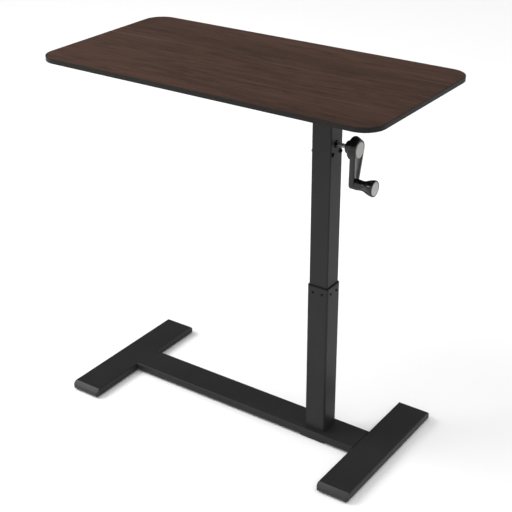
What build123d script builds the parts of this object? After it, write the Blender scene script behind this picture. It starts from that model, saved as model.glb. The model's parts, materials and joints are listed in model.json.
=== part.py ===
from build123d import *
import math
import os

# A crank-lifted overbed table. Millimetres, +Z up. The origin is on the floor under the middle
# of the tabletop, X runs along the tabletop and Y across it. The crank is on the +X side.

# --- Tabletop ---
TOP_LENGTH = 800.0
TOP_WIDTH = 400.0
TOP_HEIGHT = 828.0  # upper face above the floor, as drawn
TOP_CORNER = 45.0
BOARD = 9.2
LAMINATE = 0.8
BAND = 1.5
BAND_ROUND = 0.9

# --- Frame under the tabletop ---
RAIL_WIDTH = 60.0
RAIL_DEPTH = 18.0
FRAME_WALL = 2.0
RAIL_LEFT = 500.0  # from the column to the left cross brace
RAIL_RIGHT = 70.0  # from the column to the right cross brace
BRACE_LENGTH = 280.0
BRACE_FLANGE = 30.0
BRACE_SCREW_SPACING = 110.0
RAIL_SCREW_SPACING = 120.0
RAIL_SCREWS = 3
HEAD_PLATE_LENGTH = 110.0
HEAD_PLATE = 5.0
HEAD_BOLT_SPACING = 84.0
HEAD_BOLT_ROW = 30.0

# --- Telescopic column ---
COLUMN_INSET = 143.0  # from the right foot's middle to the column's middle
UPPER_TUBE = 45.0
TUBE_STEP = 5.0  # the lower tube is this much wider than the upper one
TUBE_WALL = 1.5
TUBE_CORNER = 3.0
LOWER_TUBE_TOP = 384.0  # top of the guide collar on the lower tube
COLLAR = 2.5
GUIDE_LENGTH = 30.0
UPPER_TUBE_BOTTOM = 300.0
SHOE_LIP = 2.0
SHOE_LENGTH = 26.0
RIVET_DROP = 16.0
RIVET_SPACING = 20.0

# --- Base ---
FOOT_LENGTH = 374.0
FOOT_WIDTH = 75.0
FOOT_HEIGHT = 20.0
LEFT_FOOT_X = -356.0
RIGHT_FOOT_X = 331.0
BEAM_WIDTH = 75.0
BEAM_HEIGHT = 18.0
BASE_WALL = 1.5
BASE_CORNER = 3.0
CAP_LENGTH = 12.0
CAP_BEVEL_RUN = 10.5
CAP_BEVEL_DROP = 9.0
CAP_CORNER = 5.0
CAP_PLUG = 18.0
GLIDE = 3.0
GLIDE_LENGTH = 30.0
GLIDE_WIDTH = 20.0
GLIDE_INSET = 34.0
TONGUE_WIDTH = 58.0
TONGUE_REACH = 44.0
TONGUE = 8.0
JOINT_BOLT_SPACING = 34.0
JOINT_BOLT_INSET = 24.0
PLATE = 2.5
PLATE_LENGTH = 64.0
PLATE_WIDTH = 72.0
COLUMN_BLOCK = 12.0
COLUMN_BOLT_SPACING = 28.0

# --- Lifting screw ---
SCREW_RADIUS = 8.0
SCREW_ROOT = 6.6
SCREW_PITCH = 4.0
SCREW_BOTTOM = 360.0
JOURNAL_RADIUS = 5.0
POST_RADIUS = 12.5
POST_WALL = 2.0
POST_TOP = 395.0
FLANGE_INSET = 3.5
POST_FLANGE_DEPTH = 4.0
NUT_LENGTH = 30.0
NUT_RADIUS = 17.0
NUT_SPIGOT = 10.0

# --- Gearbox ---
CRANK_DROP = 127.5  # crank axis below the tabletop's upper face
HOUSING_WALL = 4.2
HOUSING_FLOOR = 6.0
HOUSING_BELOW = 28.5
HOUSING_ABOVE = 18.0
COVER = 4.0
COVER_SCREW_INSET = 3.7
THRUST_BEARING = 5.0
THRUST_RADIUS = 12.0
BOX_SCREW_DROP = 18.5
BOX_SCREW_SPACING = 24.0
GEAR_SPACE = 4.5  # between each gear's wide end and the housing's wall
GEAR_TAPER = 13 / 24  # narrow end of a gear over its wide end
GEAR_WALL = 1.0
GEAR_GAP = 0.8
GEAR_HUB = 9.0
GEAR_TEETH = 14
TOOTH_DEPTH = 2.0

# --- Crank, measured outwards from the column's face ---
SHAFT_RADIUS = 4.0
SHAFT_START = 193.0 - 188.0  # from the column's middle
BUSH_RADIUS = 6.0
BUSH_FLANGE = 8.0
BUSH_FLANGE_DEPTH = 2.0
HUB_START = 22.0
NECK_TIP_RADIUS = 8.5
NECK_SWELL = 4.0  # length over which the neck widens
NECK_RADIUS = 13.5
NECK_END = 32.0
SHOULDER_RADIUS = 24.5
SHOULDER_START = 34.5
ARM_START = 40.0
ARM_FACE = 52.5
HUB_FACE_RADIUS = 19.5
ARM_REACH = 71.0
ARM_TIP_RADIUS = 11.0
ARM_REST_ANGLE = 8.0  # the arm hangs this far from vertical, towards the front
ARM_RIM = 3.5
ARM_DISH = 1.6
HUB_CAP_RADIUS = 15.2
HUB_CAP_STRETCH = 2.6
HUB_CAP_DEPTH = 2.6
SPINDLE_RADIUS = 4.0
SPINDLE_SEAT = 10.0
SPINDLE_HEAD_RADIUS = 6.5
SPINDLE_HEAD = 2.5
GRIP_LENGTH = 42.5
GRIP_BASE_RADIUS = 11.8
GRIP_WAIST_RADIUS = 10.5
GRIP_END_RADIUS = 17.0
GRIP_ROUND = 1.8
GRIP_CAP_RADIUS = 14.2
GRIP_CAP_DEPTH = 3.0
GRIP_POCKET = 5.0

# --- Clearances and fastener sizes ---
RUN = 0.1  # between parts that turn or slide on each other
SEAT = 0.05  # between parts that are pressed or screwed together
SLIDE = 0.15  # between the telescopic tubes and their plastic guides
LOOSE = 0.3  # around parts that only pass by
WOOD_SCREW_RADIUS = 2.0
WOOD_SCREW_LENGTH = 7.0
WOOD_SCREW_HEAD = 4.0
WOOD_SCREW_HEAD_DEPTH = 2.4
BOLT_M6 = 3.0
BOLT_M6_HEAD = 5.5
LOW_HEAD = 2.2
BOLT_M8 = 4.0
BOLT_M8_HEAD = 7.0
HEAD_BOLT_DEPTH = 4.0
HEAD_BOLT_GRIP = 6.0
BOX_SCREW_RADIUS = 2.5
BOX_SCREW_HEAD = 5.0
BOX_SCREW_HEAD_DEPTH = 3.4
RIVET_RADIUS = 1.9
RIVET_HEAD = 3.0
RIVET_HEAD_DEPTH = 0.9
COVER_SCREW_RADIUS = 1.5
COVER_SCREW_HEAD = 2.6
COVER_SCREW_HEAD_DEPTH = 1.6
COVER_SCREW_LENGTH = 7.0
SPACER_WALL = 2.0
GLIDE_STEM = 4.0

# --- Places worked out from the sizes above ---
COLUMN_X = RIGHT_FOOT_X - COLUMN_INSET
LOWER_TUBE = UPPER_TUBE + TUBE_STEP
BOARD_BOTTOM = TOP_HEIGHT - LAMINATE - BOARD
RAIL_BOTTOM = BOARD_BOTTOM - RAIL_DEPTH
WEB_BOTTOM = BOARD_BOTTOM - FRAME_WALL
RAIL_LEFT_X = COLUMN_X - RAIL_LEFT
RAIL_RIGHT_X = COLUMN_X + RAIL_RIGHT
HEAD_PLATE_BOTTOM = WEB_BOTTOM - HEAD_PLATE
FOOT_BOTTOM = GLIDE
FOOT_TOP = FOOT_BOTTOM + FOOT_HEIGHT
BEAM_BOTTOM = FOOT_TOP - BEAM_HEIGHT
BEAM_START = LEFT_FOOT_X + FOOT_WIDTH / 2
BEAM_END = RIGHT_FOOT_X - FOOT_WIDTH / 2
TONGUE_BOTTOM = BEAM_BOTTOM + BASE_WALL
TONGUE_TOP = TONGUE_BOTTOM + TONGUE
PLATE_BOTTOM = BEAM_BOTTOM - PLATE
BLOCK_TOP = FOOT_TOP + COLUMN_BLOCK
LOWER_BORE = LOWER_TUBE - 2 * TUBE_WALL
UPPER_BORE = UPPER_TUBE - 2 * TUBE_WALL
POST_FLANGE = LOWER_BORE - 2 * FLANGE_INSET
LOWER_CORNER = TUBE_CORNER + TUBE_WALL
CRANK_Z = TOP_HEIGHT - CRANK_DROP
COLUMN_FACE = COLUMN_X + UPPER_TUBE / 2
HOUSING_SIZE = UPPER_BORE - 2 * LOOSE
HOUSING_BORE = HOUSING_SIZE - 2 * HOUSING_WALL
COVER_SCREW_SPACING = HOUSING_SIZE - 2 * COVER_SCREW_INSET
GEAR_BACK = HOUSING_BORE / 2 - GEAR_SPACE  # from the meeting point of the two axes
GEAR_FRONT = GEAR_BACK * GEAR_TAPER
HOUSING_BOTTOM = CRANK_Z - HOUSING_BELOW
HOUSING_TOP = CRANK_Z + HOUSING_ABOVE
THRUST_BOTTOM = HOUSING_BOTTOM - THRUST_BEARING
SCREW_TOP = THRUST_BOTTOM - RUN
BOX_SCREW_Z = CRANK_Z - BOX_SCREW_DROP
COLUMN_AXIS = Plane(origin=(COLUMN_X, 0, 0))
REST_TILT = math.radians(ARM_REST_ANGLE)
GRIP_Y = -ARM_REACH * math.sin(REST_TILT)
GRIP_Z = CRANK_Z - ARM_REACH * math.cos(REST_TILT)
GRIP_START = COLUMN_FACE + ARM_FACE + LOOSE

os.makedirs("parts", exist_ok=True)


def save(piece, name):
    """Label a finished piece and write it as one STEP file."""
    piece.part.label = name
    export_step(piece.part, f"parts/{name}.step")


def column_plane(height):
    """A level plane centred on the column."""
    return COLUMN_AXIS.offset(height)


def crank_plane(distance):
    """A plane facing +X on the crank axis, turned so that its -Y points down the arm."""
    across = (0, math.cos(REST_TILT), -math.sin(REST_TILT))
    return Plane(origin=(COLUMN_FACE + distance, 0, CRANK_Z), x_dir=across, z_dir=(1, 0, 0))


def tube_section(width, height, wall, corner):
    """Section of a rectangular steel tube."""
    with BuildSketch() as section:
        RectangleRounded(width, height, corner)
        inner_corner = corner - wall
        RectangleRounded(width - 2 * wall, height - 2 * wall, inner_corner, mode=Mode.SUBTRACT)
    return section.sketch


def fasteners(points, plane, radius, length, head_radius, head_depth):
    """Screws or rivets with rounded heads: each shank runs along the plane's normal."""
    with BuildPart() as group:
        with BuildSketch(plane):
            with Locations(*points):
                Circle(radius)
        extrude(amount=length)
        with BuildSketch(plane):
            with Locations(*points):
                Circle(head_radius)
        extrude(amount=-head_depth)
        rims = group.edges().filter_by(GeomType.CIRCLE).filter_by(
            lambda edge: abs(edge.radius - head_radius) < SEAT
        )
        outer_rims = [edge for edge in rims if plane.to_local_coords(edge.center()).Z < -SEAT]
        fillet(outer_rims, head_depth * 0.45)
    return group


def drill(points, plane, radius, depth):
    """Round cutters, to be taken away from a piece."""
    with BuildPart() as cutters:
        with BuildSketch(plane):
            with Locations(*points):
                Circle(radius)
        extrude(amount=depth)
    return cutters.part


# ------------------------------------------------------------------ base frame
tongue_bolts = [(side * JOINT_BOLT_INSET, y) for side in (-1, 1)
                for y in (-JOINT_BOLT_SPACING / 2, JOINT_BOLT_SPACING / 2)]
glide_points = [(0, end * (FOOT_LENGTH / 2 - GLIDE_INSET)) for end in (-1, 1)]
column_bolts = [(x, y) for x in (-COLUMN_BOLT_SPACING / 2, COLUMN_BOLT_SPACING / 2)
                for y in (-COLUMN_BOLT_SPACING / 2, COLUMN_BOLT_SPACING / 2)]


def build_foot(name, foot_x, inner_side):
    """One foot tube, with a window for the tongue on the side that faces the beam."""
    tube_length = FOOT_LENGTH - 2 * CAP_LENGTH
    joint_x = foot_x + inner_side * FOOT_WIDTH / 2
    foot_bolts = [point for point in tongue_bolts if point[0] * inner_side < 0]
    with BuildPart() as foot:
        with BuildSketch(Plane.XZ.offset(-tube_length / 2)):
            with Locations((foot_x, FOOT_BOTTOM + FOOT_HEIGHT / 2)):
                add(tube_section(FOOT_WIDTH, FOOT_HEIGHT, BASE_WALL, BASE_CORNER))
        extrude(amount=tube_length)
        window_bottom = FOOT_BOTTOM + BASE_WALL
        window_height = TONGUE_TOP - window_bottom + RUN
        inward = Plane(origin=(joint_x, 0, window_bottom), x_dir=(0, -inner_side, 0), z_dir=(-inner_side, 0, 0))
        with BuildSketch(inward):
            Rectangle(TONGUE_WIDTH + 2 * RUN, window_height, align=(Align.CENTER, Align.MIN))
        extrude(amount=BASE_WALL + BASE_CORNER, mode=Mode.SUBTRACT)
        add(drill(foot_bolts, Plane((joint_x, 0, FOOT_BOTTOM - 1)), BOLT_M6 + LOOSE, 1 + 2 * BASE_WALL),
            mode=Mode.SUBTRACT)
        add(drill(glide_points, Plane((foot_x, 0, FOOT_BOTTOM - 1)), GLIDE_STEM + SEAT, 1 + 2 * BASE_WALL),
            mode=Mode.SUBTRACT)
    save(foot, name)


def build_foot_cap(name, foot_x, end):
    """Plastic end cap: a bevelled nose and a hollow plug that grips inside the foot tube."""
    tube_end = end * (FOOT_LENGTH / 2 - CAP_LENGTH)
    face = Plane(origin=(foot_x, tube_end, FOOT_BOTTOM), x_dir=(-end, 0, 0), z_dir=(0, end, 0))
    middle = FOOT_HEIGHT / 2
    bore_width = FOOT_WIDTH - 2 * BASE_WALL
    bore_height = FOOT_HEIGHT - 2 * BASE_WALL
    with BuildPart() as cap:
        with BuildSketch(face):
            with Locations((0, middle)):
                RectangleRounded(FOOT_WIDTH, FOOT_HEIGHT, BASE_CORNER)
        extrude(amount=CAP_LENGTH)
        upright = cap.edges().filter_by(Axis.Z).group_by(Axis.Y)[-1 if end > 0 else 0]
        fillet(upright, CAP_CORNER)
        with BuildSketch(Plane(origin=(foot_x, 0, 0), x_dir=(0, end, 0), z_dir=(end, 0, 0))):
            with BuildLine():
                nose = FOOT_LENGTH / 2
                Polyline(
                    (nose - CAP_BEVEL_RUN, FOOT_TOP),
                    (nose + 1, FOOT_TOP - CAP_BEVEL_DROP * (1 + 1 / CAP_BEVEL_RUN)),
                    (nose + 1, FOOT_TOP + 1),
                    (nose - CAP_BEVEL_RUN, FOOT_TOP + 1),
                    close=True,
                )
            make_face()
        extrude(amount=FOOT_WIDTH, both=True, mode=Mode.SUBTRACT)
        with BuildSketch(face):
            with Locations((0, middle)):
                RectangleRounded(bore_width - 2 * SEAT, bore_height - 2 * SEAT, BASE_CORNER - BASE_WALL)
        extrude(amount=-CAP_PLUG)
        with BuildSketch(face.offset(-CAP_PLUG)):
            with Locations((0, middle)):
                Rectangle(bore_width - 6 * BASE_WALL, bore_height - 4 * BASE_WALL)
        extrude(amount=CAP_PLUG, mode=Mode.SUBTRACT)
    save(cap, name)


def build_tongue(name, foot_x, inner_side):
    """Steel tongue that joins the beam to a foot; it is deeper inside the foot, down to its floor."""
    joint_x = foot_x + inner_side * FOOT_WIDTH / 2
    beam_part = [point for point in tongue_bolts if point[0] * inner_side > 0]
    foot_part = [point for point in tongue_bolts if point[0] * inner_side < 0]
    align_in_beam = Align.MIN if inner_side > 0 else Align.MAX
    align_in_foot = Align.MAX if inner_side > 0 else Align.MIN
    foot_floor = FOOT_BOTTOM + BASE_WALL
    with BuildPart() as tongue:
        with BuildSketch(Plane((joint_x, 0, TONGUE_BOTTOM))):
            Rectangle(TONGUE_REACH, TONGUE_WIDTH, align=(align_in_beam, Align.CENTER))
        extrude(amount=TONGUE)
        with BuildSketch(Plane((joint_x, 0, foot_floor))):
            Rectangle(TONGUE_REACH, TONGUE_WIDTH, align=(align_in_foot, Align.CENTER))
        extrude(amount=TONGUE_TOP - foot_floor)
        add(drill(beam_part, Plane((joint_x, 0, TONGUE_BOTTOM)), BOLT_M6 + SEAT, TONGUE), mode=Mode.SUBTRACT)
        add(drill(foot_part, Plane((joint_x, 0, foot_floor)), BOLT_M6 + SEAT, TONGUE_TOP - foot_floor),
            mode=Mode.SUBTRACT)
    save(tongue, name)


build_foot("foot_left", LEFT_FOOT_X, 1)
build_foot("foot_right", RIGHT_FOOT_X, -1)
for side_name, foot_x in (("left", LEFT_FOOT_X), ("right", RIGHT_FOOT_X)):
    build_foot_cap(f"foot_cap_{side_name}_front", foot_x, -1)
    build_foot_cap(f"foot_cap_{side_name}_rear", foot_x, 1)
build_tongue("joint_tongue_left", LEFT_FOOT_X, 1)
build_tongue("joint_tongue_right", RIGHT_FOOT_X, -1)

with BuildPart() as foot_glides:
    for foot_x in (LEFT_FOOT_X, RIGHT_FOOT_X):
        with BuildSketch(Plane((foot_x, 0, 0))):
            with Locations(*glide_points):
                RectangleRounded(GLIDE_LENGTH, GLIDE_WIDTH, GLIDE_WIDTH / 4)
        extrude(amount=GLIDE)
        with BuildSketch(Plane((foot_x, 0, GLIDE))):
            with Locations(*glide_points):
                Circle(GLIDE_STEM)
        extrude(amount=2 * BASE_WALL)
save(foot_glides, "foot_glides")

with BuildPart() as base_beam:
    with BuildSketch(Plane(origin=(BEAM_START, 0, BEAM_BOTTOM), x_dir=(0, 1, 0), z_dir=(1, 0, 0))):
        with Locations((0, BEAM_HEIGHT / 2)):
            add(tube_section(BEAM_WIDTH, BEAM_HEIGHT, BASE_WALL, BASE_CORNER))
    extrude(amount=BEAM_END - BEAM_START)
    add(drill(column_bolts, column_plane(BEAM_BOTTOM - 1), BOLT_M8 + LOOSE, BEAM_HEIGHT + 2), mode=Mode.SUBTRACT)
    for joint_x, inner_side in ((BEAM_START, 1), (BEAM_END, -1)):
        beam_points = [point for point in tongue_bolts if point[0] * inner_side > 0]
        add(drill(beam_points, Plane((joint_x, 0, BEAM_BOTTOM - 1)), BOLT_M6 + LOOSE, 1 + 2 * BASE_WALL),
            mode=Mode.SUBTRACT)
save(base_beam, "base_beam")

with BuildPart() as joint_bolts:
    for joint_x, inner_side in ((BEAM_START, 1), (BEAM_END, -1)):
        for point in tongue_bolts:
            in_beam = point[0] * inner_side > 0
            underside = BEAM_BOTTOM if in_beam else FOOT_BOTTOM
            bolt = fasteners([point], Plane((joint_x, 0, underside)), BOLT_M6, TONGUE_TOP - underside,
                             BOLT_M6_HEAD, LOW_HEAD)
            add(bolt.part)
save(joint_bolts, "joint_bolts")

# ------------------------------------------------------------------ column foot
with BuildPart() as column_plate:
    with BuildSketch(column_plane(PLATE_BOTTOM)):
        RectangleRounded(PLATE_LENGTH, PLATE_WIDTH, PLATE)
        with Locations(*column_bolts):
            Circle(BOLT_M8 + LOOSE, mode=Mode.SUBTRACT)
    extrude(amount=PLATE)
save(column_plate, "column_plate")

with BuildPart() as beam_spacers:
    with BuildSketch(column_plane(BEAM_BOTTOM + BASE_WALL)):
        with Locations(*column_bolts):
            Circle(BOLT_M8 + LOOSE + SPACER_WALL)
            Circle(BOLT_M8 + LOOSE, mode=Mode.SUBTRACT)
    extrude(amount=BEAM_HEIGHT - 2 * BASE_WALL)
save(beam_spacers, "beam_spacers")

column_bolt_group = fasteners(column_bolts, column_plane(PLATE_BOTTOM), BOLT_M8, BLOCK_TOP - PLATE_BOTTOM,
                              BOLT_M8_HEAD, LOW_HEAD)
save(column_bolt_group, "column_bolts")

with BuildPart() as column_block:
    with BuildSketch(column_plane(FOOT_TOP)):
        block_corner = LOWER_CORNER - TUBE_WALL
        RectangleRounded(LOWER_BORE - 2 * SEAT, LOWER_BORE - 2 * SEAT, block_corner)
        with Locations(*column_bolts):
            Circle(BOLT_M8 + SEAT, mode=Mode.SUBTRACT)
    extrude(amount=COLUMN_BLOCK)
save(column_block, "column_block")

# ------------------------------------------------------------------ telescopic tubes
tube_faces = [
    Plane(origin=(COLUMN_X, -LOWER_TUBE / 2, LOWER_TUBE_TOP - RIVET_DROP), x_dir=(1, 0, 0), z_dir=(0, 1, 0)),
    Plane(origin=(COLUMN_X + LOWER_TUBE / 2, 0, LOWER_TUBE_TOP - RIVET_DROP), x_dir=(0, 1, 0), z_dir=(-1, 0, 0)),
    Plane(origin=(COLUMN_X, LOWER_TUBE / 2, LOWER_TUBE_TOP - RIVET_DROP), x_dir=(-1, 0, 0), z_dir=(0, -1, 0)),
    Plane(origin=(COLUMN_X - LOWER_TUBE / 2, 0, LOWER_TUBE_TOP - RIVET_DROP), x_dir=(0, -1, 0), z_dir=(1, 0, 0)),
]
rivet_points = [(-RIVET_SPACING / 2, 0), (RIVET_SPACING / 2, 0)]
guide_outer = LOWER_BORE - 2 * SEAT
guide_inner = UPPER_TUBE + 2 * SLIDE
rivet_reach = (LOWER_TUBE - guide_inner) / 2 - SLIDE

with BuildPart() as lower_tube:
    with BuildSketch(column_plane(FOOT_TOP)):
        add(tube_section(LOWER_TUBE, LOWER_TUBE, TUBE_WALL, LOWER_CORNER))
    extrude(amount=LOWER_TUBE_TOP - COLLAR - FOOT_TOP)
    for face in tube_faces:
        add(drill(rivet_points, face, RIVET_RADIUS + SEAT, 2 * TUBE_WALL), mode=Mode.SUBTRACT)
save(lower_tube, "lower_tube")

with BuildPart() as guide_collar:
    guide_corner = TUBE_CORNER + SLIDE
    with BuildSketch(column_plane(LOWER_TUBE_TOP - COLLAR - GUIDE_LENGTH)):
        RectangleRounded(guide_outer, guide_outer, LOWER_CORNER - TUBE_WALL)
    extrude(amount=GUIDE_LENGTH)
    with BuildSketch(column_plane(LOWER_TUBE_TOP - COLLAR)):
        RectangleRounded(LOWER_TUBE, LOWER_TUBE, LOWER_CORNER)
    extrude(amount=COLLAR)
    fillet(guide_collar.faces().sort_by(Axis.Z)[-1].edges(), COLLAR / 3)
    with BuildSketch(column_plane(LOWER_TUBE_TOP)):
        RectangleRounded(guide_inner, guide_inner, guide_corner)
    extrude(amount=-GUIDE_LENGTH - COLLAR, mode=Mode.SUBTRACT)
    for face in tube_faces:
        add(drill(rivet_points, face, RIVET_RADIUS + SEAT, LOWER_TUBE / 4), mode=Mode.SUBTRACT)
save(guide_collar, "guide_collar")

with BuildPart() as guide_rivets:
    for face in tube_faces:
        add(fasteners(rivet_points, face, RIVET_RADIUS, rivet_reach, RIVET_HEAD, RIVET_HEAD_DEPTH).part)
save(guide_rivets, "guide_rivets")

crank_hole = Plane(origin=(COLUMN_FACE, 0, CRANK_Z), x_dir=(0, 1, 0), z_dir=(-1, 0, 0))
box_screw_faces = [
    Plane(origin=(COLUMN_FACE, 0, BOX_SCREW_Z), x_dir=(0, 1, 0), z_dir=(-1, 0, 0)),
    Plane(origin=(COLUMN_X - UPPER_TUBE / 2, 0, BOX_SCREW_Z), x_dir=(0, -1, 0), z_dir=(1, 0, 0)),
]
box_screw_points = [(-BOX_SCREW_SPACING / 2, 0), (BOX_SCREW_SPACING / 2, 0)]

with BuildPart() as upper_tube:
    with BuildSketch(column_plane(UPPER_TUBE_BOTTOM)):
        add(tube_section(UPPER_TUBE, UPPER_TUBE, TUBE_WALL, TUBE_CORNER))
    extrude(amount=HEAD_PLATE_BOTTOM - UPPER_TUBE_BOTTOM)
    add(drill([(0, 0)], crank_hole, BUSH_RADIUS + SEAT, 2 * TUBE_WALL), mode=Mode.SUBTRACT)
    for face in box_screw_faces:
        add(drill(box_screw_points, face, BOX_SCREW_RADIUS + RUN, 2 * TUBE_WALL), mode=Mode.SUBTRACT)
save(upper_tube, "upper_tube")

with BuildPart() as tube_shoe:
    shoe_outer = LOWER_BORE - 2 * SLIDE
    shoe_corner = LOWER_CORNER - TUBE_WALL
    with BuildSketch(column_plane(UPPER_TUBE_BOTTOM - SHOE_LIP)):
        RectangleRounded(shoe_outer, shoe_outer, shoe_corner)
    extrude(amount=SHOE_LIP + SHOE_LENGTH)
    with BuildSketch(column_plane(UPPER_TUBE_BOTTOM)):
        RectangleRounded(UPPER_TUBE + 2 * SEAT, UPPER_TUBE + 2 * SEAT, TUBE_CORNER)
    extrude(amount=SHOE_LENGTH, mode=Mode.SUBTRACT)
    with BuildSketch(column_plane(UPPER_TUBE_BOTTOM - SHOE_LIP)):
        RectangleRounded(UPPER_BORE, UPPER_BORE, TUBE_CORNER - TUBE_WALL)
    extrude(amount=SHOE_LIP, mode=Mode.SUBTRACT)
save(tube_shoe, "tube_shoe")

# ------------------------------------------------------------------ lifting screw and its nut
with BuildPart() as nut_post:
    with BuildSketch(column_plane(BLOCK_TOP)):
        RectangleRounded(POST_FLANGE, POST_FLANGE, BASE_CORNER)
    extrude(amount=POST_FLANGE_DEPTH)
    with BuildSketch(column_plane(BLOCK_TOP)):
        Circle(POST_RADIUS)
    extrude(amount=POST_TOP - BLOCK_TOP)
    with BuildSketch(column_plane(BLOCK_TOP)):
        Circle(POST_RADIUS - POST_WALL)
    extrude(amount=POST_TOP - BLOCK_TOP, mode=Mode.SUBTRACT)
save(nut_post, "nut_post")

with BuildPart() as lift_nut:
    with BuildSketch(column_plane(POST_TOP)):
        RegularPolygon(NUT_RADIUS, 6)
    extrude(amount=NUT_LENGTH)
    with BuildSketch(column_plane(POST_TOP)):
        Circle(POST_RADIUS - POST_WALL - SEAT)
    extrude(amount=-NUT_SPIGOT)
    with BuildSketch(column_plane(POST_TOP - NUT_SPIGOT)):
        Circle(SCREW_RADIUS + RUN)
    extrude(amount=NUT_LENGTH + NUT_SPIGOT, mode=Mode.SUBTRACT)
save(lift_nut, "lift_nut")

thread_turns = int((SCREW_TOP - SCREW_BOTTOM) / SCREW_PITCH) - 2
journal_top = CRANK_Z - GEAR_FRONT - GEAR_GAP
with BuildPart() as lift_screw:
    with BuildSketch(Plane(origin=(COLUMN_X, 0, 0), x_dir=(1, 0, 0), z_dir=(0, -1, 0))):
        with BuildLine():
            outline = [(0, SCREW_BOTTOM), (SCREW_ROOT, SCREW_BOTTOM)]
            for turn in range(thread_turns):
                crest = SCREW_BOTTOM + (turn + 0.5) * SCREW_PITCH
                outline += [
                    (SCREW_ROOT, crest),
                    (SCREW_RADIUS, crest + SCREW_PITCH / 8),
                    (SCREW_RADIUS, crest + SCREW_PITCH * 3 / 8),
                    (SCREW_ROOT, crest + SCREW_PITCH / 2),
                ]
            shoulder = SCREW_BOTTOM + (thread_turns + 0.5) * SCREW_PITCH
            outline += [
                (SCREW_ROOT, shoulder),
                (SCREW_RADIUS, shoulder + SCREW_PITCH / 8),
                (SCREW_RADIUS, SCREW_TOP),
                (JOURNAL_RADIUS, SCREW_TOP),
                (JOURNAL_RADIUS, journal_top),
                (0, journal_top),
            ]
            Polyline(*outline, close=True)
        make_face()
    revolve(axis=Axis((COLUMN_X, 0, 0), (0, 0, 1)))
save(lift_screw, "lift_screw")

# ------------------------------------------------------------------ gearbox
with BuildPart() as gear_housing:
    with BuildSketch(column_plane(HOUSING_BOTTOM)):
        RectangleRounded(HOUSING_SIZE, HOUSING_SIZE, TUBE_WALL)
    extrude(amount=HOUSING_TOP - HOUSING_BOTTOM)
    with BuildSketch(column_plane(HOUSING_TOP)):
        RectangleRounded(HOUSING_BORE, HOUSING_BORE, HOUSING_WALL)
    extrude(amount=HOUSING_BOTTOM + HOUSING_FLOOR - HOUSING_TOP, mode=Mode.SUBTRACT)
    with BuildSketch(column_plane(HOUSING_BOTTOM)):
        Circle(JOURNAL_RADIUS + RUN)
    extrude(amount=HOUSING_FLOOR, mode=Mode.SUBTRACT)
    add(drill([(0, 0)], crank_hole, BUSH_RADIUS + SEAT, UPPER_TUBE / 4), mode=Mode.SUBTRACT)
    for face in box_screw_faces:
        add(drill(box_screw_points, face, BOX_SCREW_RADIUS + SEAT, TUBE_WALL + LOOSE + HOUSING_WALL),
            mode=Mode.SUBTRACT)
    cover_points = GridLocations(COVER_SCREW_SPACING, COVER_SCREW_SPACING, 2, 2).local_locations
    cover_centres = [(place.position.X, place.position.Y) for place in cover_points]
    add(drill(cover_centres, column_plane(HOUSING_TOP), COVER_SCREW_RADIUS + SEAT, -COVER_SCREW_LENGTH),
        mode=Mode.SUBTRACT)
save(gear_housing, "gear_housing")

with BuildPart() as gear_cover:
    with BuildSketch(column_plane(HOUSING_TOP)):
        RectangleRounded(HOUSING_SIZE, HOUSING_SIZE, TUBE_WALL)
        with Locations(*cover_centres):
            Circle(COVER_SCREW_RADIUS + RUN, mode=Mode.SUBTRACT)
    extrude(amount=COVER)
save(gear_cover, "gear_cover")

cover_top = Plane(origin=(COLUMN_X, 0, HOUSING_TOP + COVER), x_dir=(1, 0, 0), z_dir=(0, 0, -1))
cover_screws = fasteners(cover_centres, cover_top, COVER_SCREW_RADIUS, COVER_SCREW_LENGTH,
                         COVER_SCREW_HEAD, COVER_SCREW_HEAD_DEPTH)
save(cover_screws, "cover_screws")

with BuildPart() as thrust_bearing:
    with BuildSketch(column_plane(THRUST_BOTTOM)):
        Circle(THRUST_RADIUS)
        Circle(JOURNAL_RADIUS + RUN, mode=Mode.SUBTRACT)
    extrude(amount=THRUST_BEARING)
save(thrust_bearing, "thrust_bearing")

with BuildPart() as gearbox_screws:
    screw_reach = TUBE_WALL + LOOSE + HOUSING_WALL - LOOSE
    for face in box_screw_faces:
        add(fasteners(box_screw_points, face, BOX_SCREW_RADIUS, screw_reach,
                      BOX_SCREW_HEAD, BOX_SCREW_HEAD_DEPTH).part)
save(gearbox_screws, "gearbox_screws")


def build_bevel_gear(name, apex_plane, hub_length, bore):
    """Bevel gear whose cone narrows towards the plane's origin, along the plane's normal."""
    wide = GEAR_BACK - GEAR_GAP
    narrow = max(GEAR_FRONT - GEAR_GAP, bore + GEAR_WALL)
    front = max(GEAR_FRONT, narrow + GEAR_GAP - LOOSE)
    with BuildPart() as groove:
        start = Plane(origin=(GEAR_FRONT - 1 - GEAR_GAP, 0, GEAR_FRONT - 1), z_dir=(1, 0, 1))
        with BuildSketch(start):
            Rectangle(2 * TOOTH_DEPTH, TOOTH_DEPTH * 0.6)
        with BuildSketch(start.offset(2 * GEAR_BACK - GEAR_FRONT)):
            Rectangle(2 * TOOTH_DEPTH, TOOTH_DEPTH * 1.6)
        loft()
    with BuildPart() as gear:
        with BuildSketch(Plane.XZ):
            with BuildLine():
                Polyline(
                    (bore + SEAT, front),
                    (narrow, front),
                    (wide, GEAR_BACK),
                    (GEAR_HUB, GEAR_BACK + TOOTH_DEPTH),
                    (GEAR_HUB, GEAR_BACK + hub_length),
                    (bore + SEAT, GEAR_BACK + hub_length),
                    close=True,
                )
            make_face()
        revolve(axis=Axis.Z)
        with PolarLocations(0, GEAR_TEETH):
            add(groove.part, mode=Mode.SUBTRACT)
    with BuildPart() as placed:
        add(gear.part.moved(apex_plane.location))
    save(placed, name)


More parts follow.
